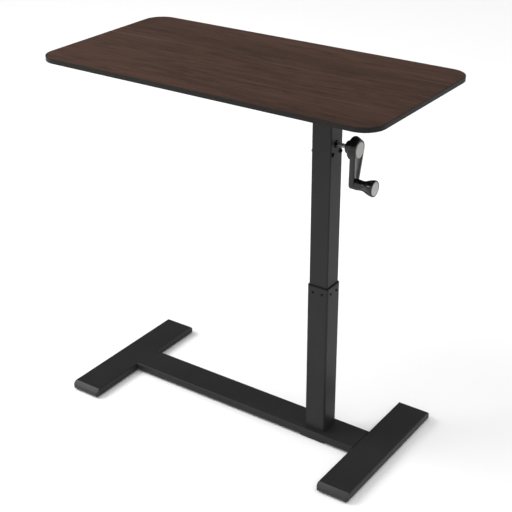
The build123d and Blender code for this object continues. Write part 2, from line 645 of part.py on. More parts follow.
screw_gear_hub = CRANK_Z - GEAR_BACK - HOUSING_BOTTOM - HOUSING_FLOOR - RUN
crank_gear_hub = HOUSING_BORE / 2 - GEAR_BACK - RUN
build_bevel_gear("screw_gear", Plane(origin=(COLUMN_X, 0, CRANK_Z), x_dir=(1, 0, 0), z_dir=(0, 0, -1)),
                 screw_gear_hub, JOURNAL_RADIUS)
build_bevel_gear("crank_gear", Plane(origin=(COLUMN_X, 0, CRANK_Z), x_dir=(0, 1, 0), z_dir=(1, 0, 0)),
                 crank_gear_hub, SHAFT_RADIUS)

# ------------------------------------------------------------------ crank
with BuildPart() as shaft_bush:
    inner_end = UPPER_TUBE / 2 - HOUSING_BORE / 2
    with BuildSketch(crank_plane(-inner_end)):
        Circle(BUSH_RADIUS)
    extrude(amount=inner_end)
    with BuildSketch(crank_plane(0)):
        Circle(BUSH_FLANGE)
    extrude(amount=BUSH_FLANGE_DEPTH)
    fillet(shaft_bush.faces().sort_by(Axis.X)[-1].edges(), BUSH_FLANGE_DEPTH / 3)
    with BuildSketch(crank_plane(-inner_end)):
        Circle(SHAFT_RADIUS + RUN)
    extrude(amount=inner_end + BUSH_FLANGE_DEPTH, mode=Mode.SUBTRACT)
save(shaft_bush, "shaft_bush")

shaft_socket_end = ARM_START
with BuildPart() as crank_shaft:
    start_distance = SHAFT_START - UPPER_TUBE / 2
    hex_start = BUSH_FLANGE_DEPTH + RUN
    with BuildSketch(crank_plane(start_distance)):
        Circle(SHAFT_RADIUS)
    extrude(amount=hex_start - start_distance)
    with BuildSketch(crank_plane(hex_start)):
        RegularPolygon(SHAFT_RADIUS, 6, major_radius=False)
    extrude(amount=shaft_socket_end - hex_start)
save(crank_shaft, "crank_shaft")

with BuildPart() as crank_arm:
    with BuildSketch(Plane(origin=(COLUMN_FACE, 0, CRANK_Z), x_dir=(1, 0, 0), z_dir=(0, -1, 0))):
        with BuildLine():
            Polyline(
                (HUB_START, 0),
                (HUB_START, NECK_TIP_RADIUS),
                (HUB_START + NECK_SWELL, NECK_RADIUS),
                (NECK_END, NECK_RADIUS),
                (SHOULDER_START, SHOULDER_RADIUS - 2),
                (SHOULDER_START + 2, SHOULDER_RADIUS),
                (ARM_START, SHOULDER_RADIUS),
                (ARM_FACE, HUB_FACE_RADIUS),
                (ARM_FACE, 0),
                close=True,
            )
        make_face()
    revolve(axis=Axis((0, 0, CRANK_Z), (1, 0, 0)))
    with BuildSketch(crank_plane(ARM_START)):
        Circle(HUB_FACE_RADIUS)
        with Locations((0, -ARM_REACH)):
            Circle(ARM_TIP_RADIUS)
        make_hull()
    extrude(amount=ARM_FACE - ARM_START)
    with BuildSketch(crank_plane(ARM_FACE)):
        Circle(HUB_FACE_RADIUS - ARM_RIM)
        with Locations((0, ARM_TIP_RADIUS - ARM_REACH)):
            Circle(ARM_TIP_RADIUS - ARM_RIM)
        make_hull()
    extrude(amount=-ARM_DISH, mode=Mode.SUBTRACT)
    with BuildSketch(crank_plane(HUB_START)):
        RegularPolygon(SHAFT_RADIUS + SEAT, 6, major_radius=False)
    extrude(amount=shaft_socket_end - HUB_START, mode=Mode.SUBTRACT)
    with BuildSketch(crank_plane(ARM_FACE)):
        with Locations((0, -ARM_REACH)):
            Circle(SPINDLE_RADIUS + SEAT)
    extrude(amount=-SPINDLE_SEAT, mode=Mode.SUBTRACT)
save(crank_arm, "crank_arm")

with BuildPart() as hub_cap:
    with BuildSketch(crank_plane(ARM_FACE - ARM_DISH)):
        with Locations((0, -HUB_CAP_STRETCH / 2)):
            Ellipse(HUB_CAP_RADIUS, HUB_CAP_RADIUS + HUB_CAP_STRETCH / 2)
    extrude(amount=HUB_CAP_DEPTH)
    fillet(hub_cap.faces().sort_by(Axis.X)[-1].edges(), HUB_CAP_DEPTH / 4)
save(hub_cap, "hub_cap")

grip_axis = Plane(origin=(GRIP_START, GRIP_Y, GRIP_Z), x_dir=(1, 0, 0), z_dir=(0, -1, 0))
grip_face = Plane(origin=(GRIP_START, GRIP_Y, GRIP_Z), x_dir=(0, 1, 0), z_dir=(1, 0, 0))
spindle_end = GRIP_LENGTH - GRIP_CAP_DEPTH - GRIP_POCKET + LOOSE
with BuildPart() as grip_spindle:
    with BuildSketch(grip_face.offset(-LOOSE - SPINDLE_SEAT)):
        Circle(SPINDLE_RADIUS)
    extrude(amount=SPINDLE_SEAT + LOOSE + spindle_end)
    with BuildSketch(grip_face.offset(spindle_end)):
        Circle(SPINDLE_HEAD_RADIUS)
    extrude(amount=SPINDLE_HEAD)
    fillet(grip_spindle.faces().sort_by(Axis.X)[-1].edges(), SPINDLE_HEAD / 3)
save(grip_spindle, "grip_spindle")

with BuildPart() as crank_grip:
    with BuildSketch(grip_axis):
        with BuildLine():
            outline_start = (0, GRIP_BASE_RADIUS - GRIP_ROUND / 2)
            Line((0, 0), outline_start)
            side = Spline(
                outline_start,
                (GRIP_LENGTH * 0.08, GRIP_BASE_RADIUS - 0.1),
                (GRIP_LENGTH * 0.42, GRIP_WAIST_RADIUS),
                (GRIP_LENGTH * 0.72, GRIP_WAIST_RADIUS + (GRIP_END_RADIUS - GRIP_WAIST_RADIUS) * 0.46),
                (GRIP_LENGTH * 0.93, GRIP_END_RADIUS),
                (GRIP_LENGTH, GRIP_END_RADIUS - GRIP_ROUND),
            )
            Polyline(side @ 1, (GRIP_LENGTH, 0), (0, 0))
        make_face()
    revolve(axis=Axis((0, GRIP_Y, GRIP_Z), (1, 0, 0)))
    with BuildSketch(grip_face.offset(GRIP_LENGTH)):
        Circle(GRIP_CAP_RADIUS + SEAT)
    extrude(amount=-GRIP_CAP_DEPTH, mode=Mode.SUBTRACT)
    with BuildSketch(grip_face.offset(GRIP_LENGTH - GRIP_CAP_DEPTH)):
        Circle(SPINDLE_HEAD_RADIUS + LOOSE)
    extrude(amount=-GRIP_POCKET, mode=Mode.SUBTRACT)
    with BuildSketch(grip_face):
        Circle(SPINDLE_RADIUS + RUN)
    extrude(amount=GRIP_LENGTH, mode=Mode.SUBTRACT)
save(crank_grip, "crank_grip")

with BuildPart() as grip_cap:
    with BuildSketch(grip_face.offset(GRIP_LENGTH - GRIP_CAP_DEPTH)):
        Circle(GRIP_CAP_RADIUS)
    extrude(amount=GRIP_CAP_DEPTH + LOOSE)
    fillet(grip_cap.faces().sort_by(Axis.X)[-1].edges(), GRIP_CAP_DEPTH / 4)
save(grip_cap, "grip_cap")

# ------------------------------------------------------------------ frame under the tabletop
head_bolts = [(x, y) for x in (-HEAD_BOLT_SPACING / 2, HEAD_BOLT_SPACING / 2)
              for y in (-HEAD_BOLT_ROW / 2, HEAD_BOLT_ROW / 2)]
rail_screw_x = [RAIL_LEFT_X + RAIL_SCREW_SPACING * (index + 0.5) for index in range(RAIL_SCREWS)]
rail_screws = [(x, 0) for x in rail_screw_x]
brace_middles = (RAIL_LEFT_X - BRACE_FLANGE / 2, RAIL_RIGHT_X + BRACE_FLANGE / 2)
brace_screws = [(0, y) for y in (-BRACE_SCREW_SPACING, 0, BRACE_SCREW_SPACING)]

with BuildPart() as head_plate:
    with BuildSketch(column_plane(HEAD_PLATE_BOTTOM)):
        Rectangle(HEAD_PLATE_LENGTH, RAIL_WIDTH - 2 * FRAME_WALL - 2 * LOOSE)
        with Locations(*head_bolts):
            Circle(BOLT_M6 + LOOSE, mode=Mode.SUBTRACT)
    extrude(amount=HEAD_PLATE)
save(head_plate, "head_plate")

with BuildPart() as top_rail:
    with BuildSketch(Plane(origin=(RAIL_LEFT_X, 0, BOARD_BOTTOM), x_dir=(0, 1, 0), z_dir=(1, 0, 0))):
        Rectangle(RAIL_WIDTH, RAIL_DEPTH, align=(Align.CENTER, Align.MAX))
        with Locations((0, -FRAME_WALL)):
            Rectangle(RAIL_WIDTH - 2 * FRAME_WALL, RAIL_DEPTH, align=(Align.CENTER, Align.MAX), mode=Mode.SUBTRACT)
    extrude(amount=RAIL_RIGHT_X - RAIL_LEFT_X)
    add(drill(head_bolts, column_plane(WEB_BOTTOM), BOLT_M6 + LOOSE, FRAME_WALL), mode=Mode.SUBTRACT)
    add(drill(rail_screws, Plane((0, 0, WEB_BOTTOM)), WOOD_SCREW_RADIUS + LOOSE, FRAME_WALL), mode=Mode.SUBTRACT)
save(top_rail, "top_rail")

for brace_name, middle, outward in (("left", brace_middles[0], -1), ("right", brace_middles[1], 1)):
    with BuildPart() as brace:
        inner_edge = middle - outward * BRACE_FLANGE / 2
        inner_align = Align.MAX if outward < 0 else Align.MIN
        front_end = Plane(origin=(inner_edge, -BRACE_LENGTH / 2, BOARD_BOTTOM), x_dir=(1, 0, 0), z_dir=(0, -1, 0))
        with BuildSketch(front_end):
            Rectangle(BRACE_FLANGE, FRAME_WALL, align=(inner_align, Align.MAX))
            Rectangle(FRAME_WALL, RAIL_DEPTH, align=(inner_align, Align.MAX))
        extrude(amount=-BRACE_LENGTH)
        add(drill(brace_screws, Plane((middle, 0, WEB_BOTTOM)), WOOD_SCREW_RADIUS + LOOSE, FRAME_WALL),
            mode=Mode.SUBTRACT)
    save(brace, f"cross_brace_{brace_name}")

head_bolt_group = fasteners(head_bolts, column_plane(HEAD_PLATE_BOTTOM), BOLT_M6,
                            HEAD_PLATE + FRAME_WALL + HEAD_BOLT_GRIP, BOLT_M6_HEAD, HEAD_BOLT_DEPTH)
save(head_bolt_group, "head_bolts")

wood_screw_length = FRAME_WALL + WOOD_SCREW_LENGTH
with BuildPart() as top_screws:
    add(fasteners(rail_screws, Plane((0, 0, WEB_BOTTOM)), WOOD_SCREW_RADIUS, wood_screw_length,
                  WOOD_SCREW_HEAD, WOOD_SCREW_HEAD_DEPTH).part)
    for middle in brace_middles:
        add(fasteners(brace_screws, Plane((middle, 0, WEB_BOTTOM)), WOOD_SCREW_RADIUS, wood_screw_length,
                      WOOD_SCREW_HEAD, WOOD_SCREW_HEAD_DEPTH).part)
save(top_screws, "top_screws")

# ------------------------------------------------------------------ tabletop
core_length = TOP_LENGTH - 2 * BAND
core_width = TOP_WIDTH - 2 * BAND
core_corner = TOP_CORNER - BAND

with BuildPart() as top_board:
    with BuildSketch(Plane.XY.offset(BOARD_BOTTOM)):
        RectangleRounded(core_length, core_width, core_corner)
    extrude(amount=BOARD)
    add(drill(head_bolts, column_plane(BOARD_BOTTOM), BOLT_M6 + SEAT, HEAD_BOLT_GRIP), mode=Mode.SUBTRACT)
    add(drill(rail_screws, Plane((0, 0, BOARD_BOTTOM)), WOOD_SCREW_RADIUS + SEAT, WOOD_SCREW_LENGTH),
        mode=Mode.SUBTRACT)
    for middle in brace_middles:
        add(drill(brace_screws, Plane((middle, 0, BOARD_BOTTOM)), WOOD_SCREW_RADIUS + SEAT, WOOD_SCREW_LENGTH),
            mode=Mode.SUBTRACT)
save(top_board, "top_board")

with BuildPart() as top_laminate:
    with BuildSketch(Plane.XY.offset(TOP_HEIGHT - LAMINATE)):
        RectangleRounded(core_length, core_width, core_corner)
    extrude(amount=LAMINATE)
save(top_laminate, "top_laminate")

with BuildPart() as edge_band:
    with BuildSketch(Plane.XY.offset(BOARD_BOTTOM)):
        RectangleRounded(TOP_LENGTH, TOP_WIDTH, TOP_CORNER)
    extrude(amount=BOARD + LAMINATE)
    outer_rims = edge_band.faces().filter_by(Axis.Z).edges()
    fillet(outer_rims, BAND_ROUND)
    with BuildSketch(Plane.XY.offset(BOARD_BOTTOM)):
        RectangleRounded(core_length, core_width, core_corner)
    extrude(amount=BOARD + LAMINATE, mode=Mode.SUBTRACT)
save(edge_band, "edge_band")
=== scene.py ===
"""Looks for a crank-lifted overbed table: a dark walnut top on a black telescopic column."""

import json
import math

import bmesh
import bpy
from mathutils import Matrix, Vector


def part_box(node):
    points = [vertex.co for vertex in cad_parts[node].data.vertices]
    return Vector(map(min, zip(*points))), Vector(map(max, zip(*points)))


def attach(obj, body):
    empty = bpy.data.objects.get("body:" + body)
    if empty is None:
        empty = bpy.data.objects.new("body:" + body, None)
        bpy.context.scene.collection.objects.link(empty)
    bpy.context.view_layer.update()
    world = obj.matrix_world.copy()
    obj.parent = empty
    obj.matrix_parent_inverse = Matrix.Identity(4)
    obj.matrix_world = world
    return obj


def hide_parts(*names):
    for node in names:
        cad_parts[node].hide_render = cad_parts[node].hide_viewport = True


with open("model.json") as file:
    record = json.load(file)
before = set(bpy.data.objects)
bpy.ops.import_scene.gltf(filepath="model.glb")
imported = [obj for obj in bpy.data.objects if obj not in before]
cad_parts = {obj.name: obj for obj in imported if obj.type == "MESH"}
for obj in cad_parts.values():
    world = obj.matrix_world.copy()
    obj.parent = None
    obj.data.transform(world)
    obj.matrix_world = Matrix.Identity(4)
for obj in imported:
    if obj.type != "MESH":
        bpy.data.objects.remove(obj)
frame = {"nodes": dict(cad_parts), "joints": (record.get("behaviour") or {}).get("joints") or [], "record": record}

bl_info = {
    "name": "Overbed table",
    "version": (1, 0, 0),
    "blender": (4, 5, 0),
    "location": "3D View > Sidebar > Table",
    "description": "Builds the visible pieces of a crank-lifted overbed table",
    "category": "Object",
}

MM = 0.001
WELD = 0.002 * MM  # points closer than this are one point
CREASE = math.radians(35)  # turned pieces stay sharp beyond this bend
BAND_CREASE = math.radians(50)
SHELL_CREASE = math.radians(38)
BEVEL_FROM = math.radians(28)  # edges that bend less stay as they are
FLAT = math.radians(0.6)  # faces that bend less are one face
CORNER_POINTS = 28
SPIRAL_POINTS = 28
SCREW_SEGMENTS = 48
FASTENER_SEGMENTS = 24
HEXAGON = 6
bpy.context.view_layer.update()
JOINTS = {joint["name"]: joint for joint in frame["joints"]}
CRANK_PIVOT = Vector(JOINTS["crank_turn"]["pos_m"])
GRIP_PIVOT = Vector(JOINTS["grip_spin"]["pos_m"])
COLUMN = Vector((JOINTS["screw_turn"]["pos_m"][0], 0.0, 0.0))
COLUMN_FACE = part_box("upper_tube")[1].x


# ---- sizes and colours a user may change
def length(name, description, default, low, high):
    """A length that a user may change."""
    return bpy.props.FloatProperty(name=name, description=description, default=default, min=low, max=high,
                                   subtype="DISTANCE", unit="LENGTH")


def colour(name, description, default):
    """A colour that a user may change."""
    return bpy.props.FloatVectorProperty(name=name, description=description, default=default, size=3,
                                         min=0, max=1, subtype="COLOR")


def brightness(name, description, default):
    """The brightness of one part of the studio."""
    return bpy.props.FloatProperty(name=name, description=description, default=default, min=0, max=20)


class TableSettings(bpy.types.PropertyGroup):
    """Sizes and finishes of the table's visible pieces."""

    band_round: length("Edge band rounding", "Radius along the top's black edge", 1.3 * MM, 0.2 * MM, 4 * MM)
    corner_radius: length("Top corner radius", "Radius of the top's four corners in plan",
                          45 * MM, 5 * MM, 100 * MM)
    steel_edge: length("Steel edge rounding", "Rounding on cut steel edges", 0.5 * MM, 0.1 * MM, 2 * MM)
    cap_edge: length("Foot cap edge rounding", "Rounding along the bevels of the foot caps",
                     2.2 * MM, 0.2 * MM, 3 * MM)
    arm_edge: length("Crank arm edge rounding", "Rounding round the crank arm", 1.8 * MM, 0.3 * MM, 3 * MM)
    thread_lead: length("Screw lead", "How far the top rises for one turn of the crank",
                        8 * MM, 2 * MM, 20 * MM)
    wood_dark: colour("Walnut, dark streaks", "Colour of the darkest grain", (0.023, 0.0130, 0.0098))
    wood_middle: colour("Walnut, body", "Main colour of the decor", (0.067, 0.0375, 0.0272))
    wood_red: colour("Walnut, red streaks", "Colour of the warm grain", (0.080, 0.0375, 0.0260))
    wood_pale: colour("Walnut, pale lines", "Colour of the few pale lines", (0.094, 0.058, 0.040))
    coat_colour: colour("Powder coat", "Colour of the coated steel", (0.0152, 0.0152, 0.0153))
    coat_roughness: bpy.props.FloatProperty(
        name="Powder coat roughness", description="How dull the coated steel is",
        default=0.37, min=0, max=1, subtype="FACTOR")
    crank_colour: colour("Crank plastic", "Colour of the glossy crank and grip", (0.0032, 0.0032, 0.0034))
    cap_colour: colour("Crank cap", "Colour of the light caps on the crank and grip", (0.36, 0.36, 0.35))
    ceiling: brightness("Ceiling light", "Brightness of the studio's ceiling", 1.1)
    near_wall: brightness("Near wall", "Brightness of the wall behind the camera", 0.85)
    left_wall: brightness("Left wall", "Brightness of the wall at the left", 0.7)
    right_wall: brightness("Right wall", "Brightness of the wall at the right", 0.35)
    horizon: brightness("Horizon", "Brightness where the floor meets the walls", 0.6)
    far_wall: brightness("Far wall", "Brightness of the wall behind the table", 0.03)
    key_power: bpy.props.FloatProperty(
        name="Key light", description="Power of the lamp at the left", default=85.0, min=0, max=2000,
        subtype="POWER", unit="POWER")
    floor_colour: colour("Floor", "Colour of the studio floor", (0.94, 0.94, 0.938))


def settings():
    """The values set in the sidebar."""
    return bpy.context.scene.overbed_table


# ---- node trees written as expressions
def operator(name, reflected=False):
    """The Math node behind one of a wire's operators."""
    def add_node(self, *others):
        values = (*others, self) if reflected else (self, *others)
        return self.sheet.node("ShaderNodeMath", {"operation": name}, dict(enumerate(values)))
    return add_node


class Wire:
    """One output socket; arithmetic on it adds Math nodes to its tree."""

    def __init__(self, sheet, socket):
        self.sheet = sheet
        self.socket = socket

    __add__ = __radd__ = operator("ADD")
    __sub__ = operator("SUBTRACT")
    __rsub__ = operator("SUBTRACT", reflected=True)
    __mul__ = __rmul__ = operator("MULTIPLY")
    __truediv__ = operator("DIVIDE")
    __rtruediv__ = operator("DIVIDE", reflected=True)
    __mod__ = operator("FLOORED_MODULO")
    floor = operator("FLOOR")
    sine = operator("SINE")
    cosine = operator("COSINE")

    def above(self, low, high):
        """0 below low, 1 above high, and a smooth step between."""
        wanted = {"Value": self, "From Min": low, "From Max": high}
        return self.sheet.node("ShaderNodeMapRange", {"interpolation_type": "SMOOTHSTEP"}, wanted)


class Sheet:
    """A node tree being filled in."""

    def __init__(self, tree):
        self.tree = tree

    def node(self, kind, setup=None, values=None, output=0):
        """Adds a node: its settings first, then the values or links of its sockets."""
        made = self.tree.nodes.new(kind)
        for key, value in (setup or {}).items():
            setattr(made, key, value)
        for key, value in (values or {}).items():
            socket = made.inputs[key]
            if isinstance(value, Wire):
                self.tree.links.new(value.socket, socket)
            elif socket.type == "RGBA" and len(value) == 3:
                socket.default_value = (*value, 1.0)
            else:
                socket.default_value = value
        return Wire(self, made.outputs[output]) if len(made.outputs) else None

    def outputs(self, wire, name):
        """Another output of the node that a wire comes from."""
        return Wire(self, wire.socket.node.outputs[name])


class Finish(Sheet):
    """One procedural material."""

    def __init__(self, name):
        self.material = bpy.data.materials.new(name)
        self.material.use_nodes = True
        super().__init__(self.material.node_tree)
        self.tree.nodes.clear()
        self.place = self.node("ShaderNodeTexCoord", output="Object")

    def stretched(self, scale, offset=(0.0, 0.0, 0.0)):
        """Object coordinates, scaled along each axis."""
        return self.node("ShaderNodeMapping", {}, {"Vector": self.place, "Scale": scale, "Location": offset})

    def noise(self, vector, scale=1.0, detail=3.0, roughness=0.55, distortion=0.0):
        wanted = {"Vector": vector, "Scale": scale, "Detail": detail, "Roughness": roughness,
                  "Distortion": distortion}
        return self.node("ShaderNodeTexNoise", {}, wanted)

    def mix(self, first, second, amount):
        """Colour between first and second."""
        return self.node("ShaderNodeMix", {"data_type": "RGBA"}, {0: amount, 6: first, 7: second}, output=2)

    def bump(self, height, strength, distance):
        return self.node("ShaderNodeBump", {}, {"Height": height, "Strength": strength, "Distance": distance})

    def finish(self, colour, roughness, normal=None, metallic=0.0, **fixed):
        """Ends the tree in one Principled shader."""
        wanted = {"Base Color": colour, "Roughness": roughness, "Metallic": metallic}
        if normal is not None:
            wanted["Normal"] = normal
        wanted.update({key.replace("_", " "): value for key, value in fixed.items()})
        shader = self.node("ShaderNodeBsdfPrincipled", {}, wanted)
        self.node("ShaderNodeOutputMaterial", {}, {"Surface": shader})
        return self.material


def walnut():
    """Dark walnut decor: broad bands, streaks and fine pores that run along the top."""
    own = settings()
    made = Finish("walnut_decor")
    sway = made.noise(made.stretched((2.4, 6.0, 1.0), (3.1, 0.4, 0.0)), detail=2.0)
    drift = made.node("ShaderNodeCombineXYZ", {}, {"Y": sway * 0.030 - 0.015})
    bent = made.node("ShaderNodeVectorMath", {"operation": "ADD"}, {0: made.place, 1: drift})

    def along(scale):
        """The bent grain; the scales run along the top, across it and through it."""
        return made.node("ShaderNodeMapping", {}, {"Vector": bent, "Scale": scale})

    bands = made.noise(along((1.1, 15.0, 1.0)), detail=3.0, roughness=0.5)
    warm = made.noise(along((2.6, 42.0, 4.0)), detail=4.0, roughness=0.6)
    streaks = made.noise(along((8.0, 150.0, 1.0)), detail=4.0, roughness=0.62)
    dashes = made.noise(along((17.0, 330.0, 1.0)), detail=3.0, roughness=0.6)
    patches = made.noise(along((3.4, 16.0, 7.0)), detail=2.0)
    pale = made.noise(along((2.2, 190.0, 9.0)), detail=2.0)
    fibres = made.noise(along((30.0, 760.0, 1.0)), detail=3.0, roughness=0.6)
    pores = made.noise(along((90.0, 1900.0, 1.0)), detail=2.0, roughness=0.5)
    pore_mask = pores.above(0.60, 0.70)
    body = made.mix(own.wood_middle, own.wood_dark, bands.above(0.35, 0.75) * 0.45)
    body = made.mix(body, own.wood_red, warm.above(0.45, 0.75) * 0.42)
    body = made.mix(body, own.wood_dark, streaks.above(0.46, 0.68) * 0.58)
    body = made.mix(body, own.wood_dark, dashes.above(0.48, 0.62) * patches.above(0.40, 0.58) * 0.72)
    body = made.mix(body, own.wood_pale, pale.above(0.60, 0.70) * 0.7)
    body = made.mix(body, (0.012, 0.008, 0.007), pore_mask * 0.45)
    height = fibres * 0.4 + (1.0 - pore_mask) * 0.6
    rough = 0.30 + fibres * 0.08 + streaks * 0.05 + pore_mask * 0.12
    return made.finish(body, rough, made.bump(height, 0.25, 0.06 * MM), Specular_IOR_Level=0.12)


def powder_coat():
    """Black powder coat: fine orange peel, with faint changes of sheen from part to part of a tube."""
    own = settings()
    made = Finish("black_powder_coat")
    peel = made.noise(made.place, scale=620.0, detail=2.0, roughness=0.45)
    grit = made.noise(made.place, scale=2600.0, detail=1.0)
    cloud = made.noise(made.place, scale=9.0, detail=3.0)
    lighter = tuple(1.35 * value for value in own.coat_colour)
    colour = made.mix(own.coat_colour, lighter, cloud.above(0.35, 0.7) * 0.5 + grit * 0.3)
    rough = own.coat_roughness - 0.06 + cloud * 0.09 + peel * 0.04
    normal = made.bump(peel * 0.8 + grit * 0.2, 0.35, 0.05 * MM)
    return made.finish(colour, rough, normal, Specular_IOR_Level=0.15)


def moulded(name, colour, roughness, grain=900.0, depth=0.05, spread=0.08, **fixed):
    """Moulded plastic or rubber: spark-eroded grain, with rubbed patches that shine a little more."""
    made = Finish(name)
    texture = made.noise(made.place, scale=grain, detail=2.0)
    rubbed = made.noise(made.place, scale=34.0, detail=3.0)
    lighter = tuple(min(1.0, 1.25 * value) for value in colour)
    shade = made.mix(colour, lighter, rubbed.above(0.35, 0.7) * 0.6 + texture * 0.25)
    rough = roughness - spread / 2 + rubbed * spread + texture * 0.03
    return made.finish(shade, rough, made.bump(texture, 0.3, depth * MM), **fixed)


def bare_metal(name, colour, roughness, along=(40.0, 900.0, 900.0), tint=0.75):
    """Machined or plated metal with drawn or turned marks and a slightly stained surface."""
    made = Finish(name)
    marks = made.noise(made.stretched(along), detail=3.0, roughness=0.6)
    stain = made.noise(made.place, scale=60.0, detail=3.0)
    darker = tuple(tint * value for value in colour)
    shade = made.mix(colour, darker, stain.above(0.4, 0.75) * 0.7 + marks * 0.25)
    rough = roughness + marks * 0.12 + stain * 0.08
    return made.finish(shade, rough, made.bump(marks, 0.25, 0.02 * MM), metallic=1.0)


def black_film():
    """The black backing film under the board, with a fine pressed weave of pits."""
    made = Finish("black_backing_film")
    pits = made.noise(made.place, scale=1500.0, detail=2.0)
    cloud = made.noise(made.place, scale=6.0, detail=2.0)
    colour = made.mix((0.012, 0.012, 0.012), (0.024, 0.023, 0.022), cloud * 0.6 + pits * 0.4)
    return made.finish(colour, 0.62 + pits * 0.12, made.bump(pits, 0.3, 0.04 * MM))


def make_finishes():
    """All the table's materials, by the record's slot names."""
    own = settings()
    return {
        "wood_laminate": walnut(),
        "wood_core": black_film(),
        "painted_steel": powder_coat(),
        "edge_plastic": moulded("edge_band_plastic", (0.0122, 0.0104, 0.0098), 0.44, grain=1400.0, depth=0.03,
                                Specular_IOR_Level=0.12),
        "black_plastic": moulded("foot_cap_plastic", (0.016, 0.016, 0.0162), 0.46, grain=1000.0,
                                 Specular_IOR_Level=0.3),
        "collar": moulded("collar_plastic", (0.0035, 0.0035, 0.0036), 0.5, grain=1000.0,
                          Specular_IOR_Level=0.12),
        "black_rubber": moulded("glide_rubber", (0.02, 0.02, 0.02), 0.75, grain=1500.0),
        "gloss_black": moulded("crank_plastic", tuple(own.crank_colour), 0.13, grain=500.0, depth=0.008,
                               spread=0.06, Specular_IOR_Level=0.42),
        "grey_cap": moulded("crank_cap_plastic", tuple(own.cap_colour), 0.42, grain=800.0, depth=0.03),
        "zinc_steel": bare_metal("zinc_plate", (0.58, 0.57, 0.54), 0.26),
        "black_steel": bare_metal("black_oxide", (0.011, 0.011, 0.012), 0.30, tint=0.6),
        "bushing_brass": bare_metal("turned_bronze", (0.46, 0.33, 0.16), 0.30, along=(900.0, 900.0, 60.0)),
        "cast_metal": bare_metal("die_cast", (0.42, 0.42, 0.43), 0.46, along=(500.0, 500.0, 500.0)),
        "gear_steel": bare_metal("gear_steel", (0.34, 0.33, 0.32), 0.32, along=(700.0, 700.0, 700.0)),
    }


FINISHES = {}
SLOT_OF = {part["node"]: part["material_slot"] for part in frame["record"]["subparts"]}


def finish_of(slot):
    """The material for one of the record's slots."""
    if not FINISHES:
        FINISHES.update(make_finishes())
    return FINISHES[slot]


def dress(*nodes, finish=None):
    """Gives CAD nodes the finish of their slot, or another one."""
    for name in nodes:
        node = frame["nodes"][name]
        node.data.materials.clear()
        node.data.materials.append(finish_of(finish or SLOT_OF[name]))


# ---- Geometry Nodes trees
def geometry_tree(name, *inputs):
    """An empty geometry tree with named inputs: returns the tree's sheet and a wire for each input."""
    tree = bpy.data.node_groups.new(name, "GeometryNodeTree")
    tree.interface.new_socket("Geometry", in_out="INPUT", socket_type="NodeSocketGeometry")
    tree.interface.new_socket("Geometry", in_out="OUTPUT", socket_type="NodeSocketGeometry")
    for label, kind in inputs:
        tree.interface.new_socket(label, in_out="INPUT", socket_type="NodeSocket" + kind)
    sheet = Sheet(tree)
    entry = sheet.node("NodeGroupInput")
    return sheet, {socket.name: Wire(sheet, socket) for socket in entry.socket.node.outputs if socket.name}


def end_geometry(sheet, geometry, material):
    """Every tree ends in real geometry with its material set."""
    real = sheet.node("GeometryNodeRealizeInstances", {}, {"Geometry": geometry})
    painted = sheet.node("GeometryNodeSetMaterial", {}, {"Geometry": real, "Material": material})
    sheet.node("NodeGroupOutput", {}, {"Geometry": painted})
    return sheet.tree


def joined(sheet, *parts):
    """Several geometries as one."""
    whole = sheet.node("GeometryNodeJoinGeometry")
    for part in parts:
        sheet.tree.links.new(part.socket, whole.socket.node.inputs[0])
    return whole


def section_curve(sheet, outline):
    """The line held by an object, as a curve."""
    lines = sheet.node("GeometryNodeObjectInfo", {}, {"Object": outline}, output="Geometry")
    return sheet.node("GeometryNodeMeshToCurve", {}, {"Mesh": lines})


def shaded(sheet, geometry, crease):
    """Smooth shading, sharp along edges that bend more than the crease."""
    bend = sheet.node("GeometryNodeInputMeshEdgeAngle", {}, {}, output="Unsigned Angle")
    sharp = sheet.node("FunctionNodeCompare", {"operation": "GREATER_THAN"}, {0: bend, 1: crease})
    smooth = sheet.node("GeometryNodeSetShadeSmooth", {"domain": "FACE"}, {"Geometry": geometry})
    return sheet.node("GeometryNodeSetShadeSmooth", {"domain": "EDGE"},
                      {"Geometry": smooth, "Selection": sharp, "Shade Smooth": False})


def lathe_nodes(sheet, profile, segments, crease):
    """Turns the polyline of an object about its Z axis; the profile's X is the radius."""
    outline = sheet.node("GeometryNodeObjectInfo", {}, {"Object": profile}, output="Geometry")
    rows = sheet.node("GeometryNodeAttributeDomainSize", {}, {"Geometry": outline}, output="Point Count")
    grid = sheet.node("GeometryNodeMeshGrid", {}, {"Vertices X": segments + 1, "Vertices Y": rows})
    index = sheet.node("GeometryNodeInputIndex")
    row = index % rows
    turn = (index / rows).floor() * (2 * math.pi) / segments
    position = sheet.node("GeometryNodeInputPosition")
    point = sheet.node("GeometryNodeSampleIndex", {"data_type": "FLOAT_VECTOR"},
                       {"Geometry": outline, "Value": position, "Index": row})
    radius = sheet.node("ShaderNodeSeparateXYZ", {}, {"Vector": point})
    height = sheet.outputs(radius, "Z")
    turned = sheet.node("ShaderNodeCombineXYZ", {},
                        {"X": radius * turn.cosine(), "Y": radius * turn.sine(), "Z": height})
    shape = sheet.node("GeometryNodeSetPosition", {}, {"Geometry": grid, "Position": turned})
    closed = sheet.node("GeometryNodeMergeByDistance", {}, {"Geometry": shape, "Distance": WELD})
    return shaded(sheet, closed, crease)


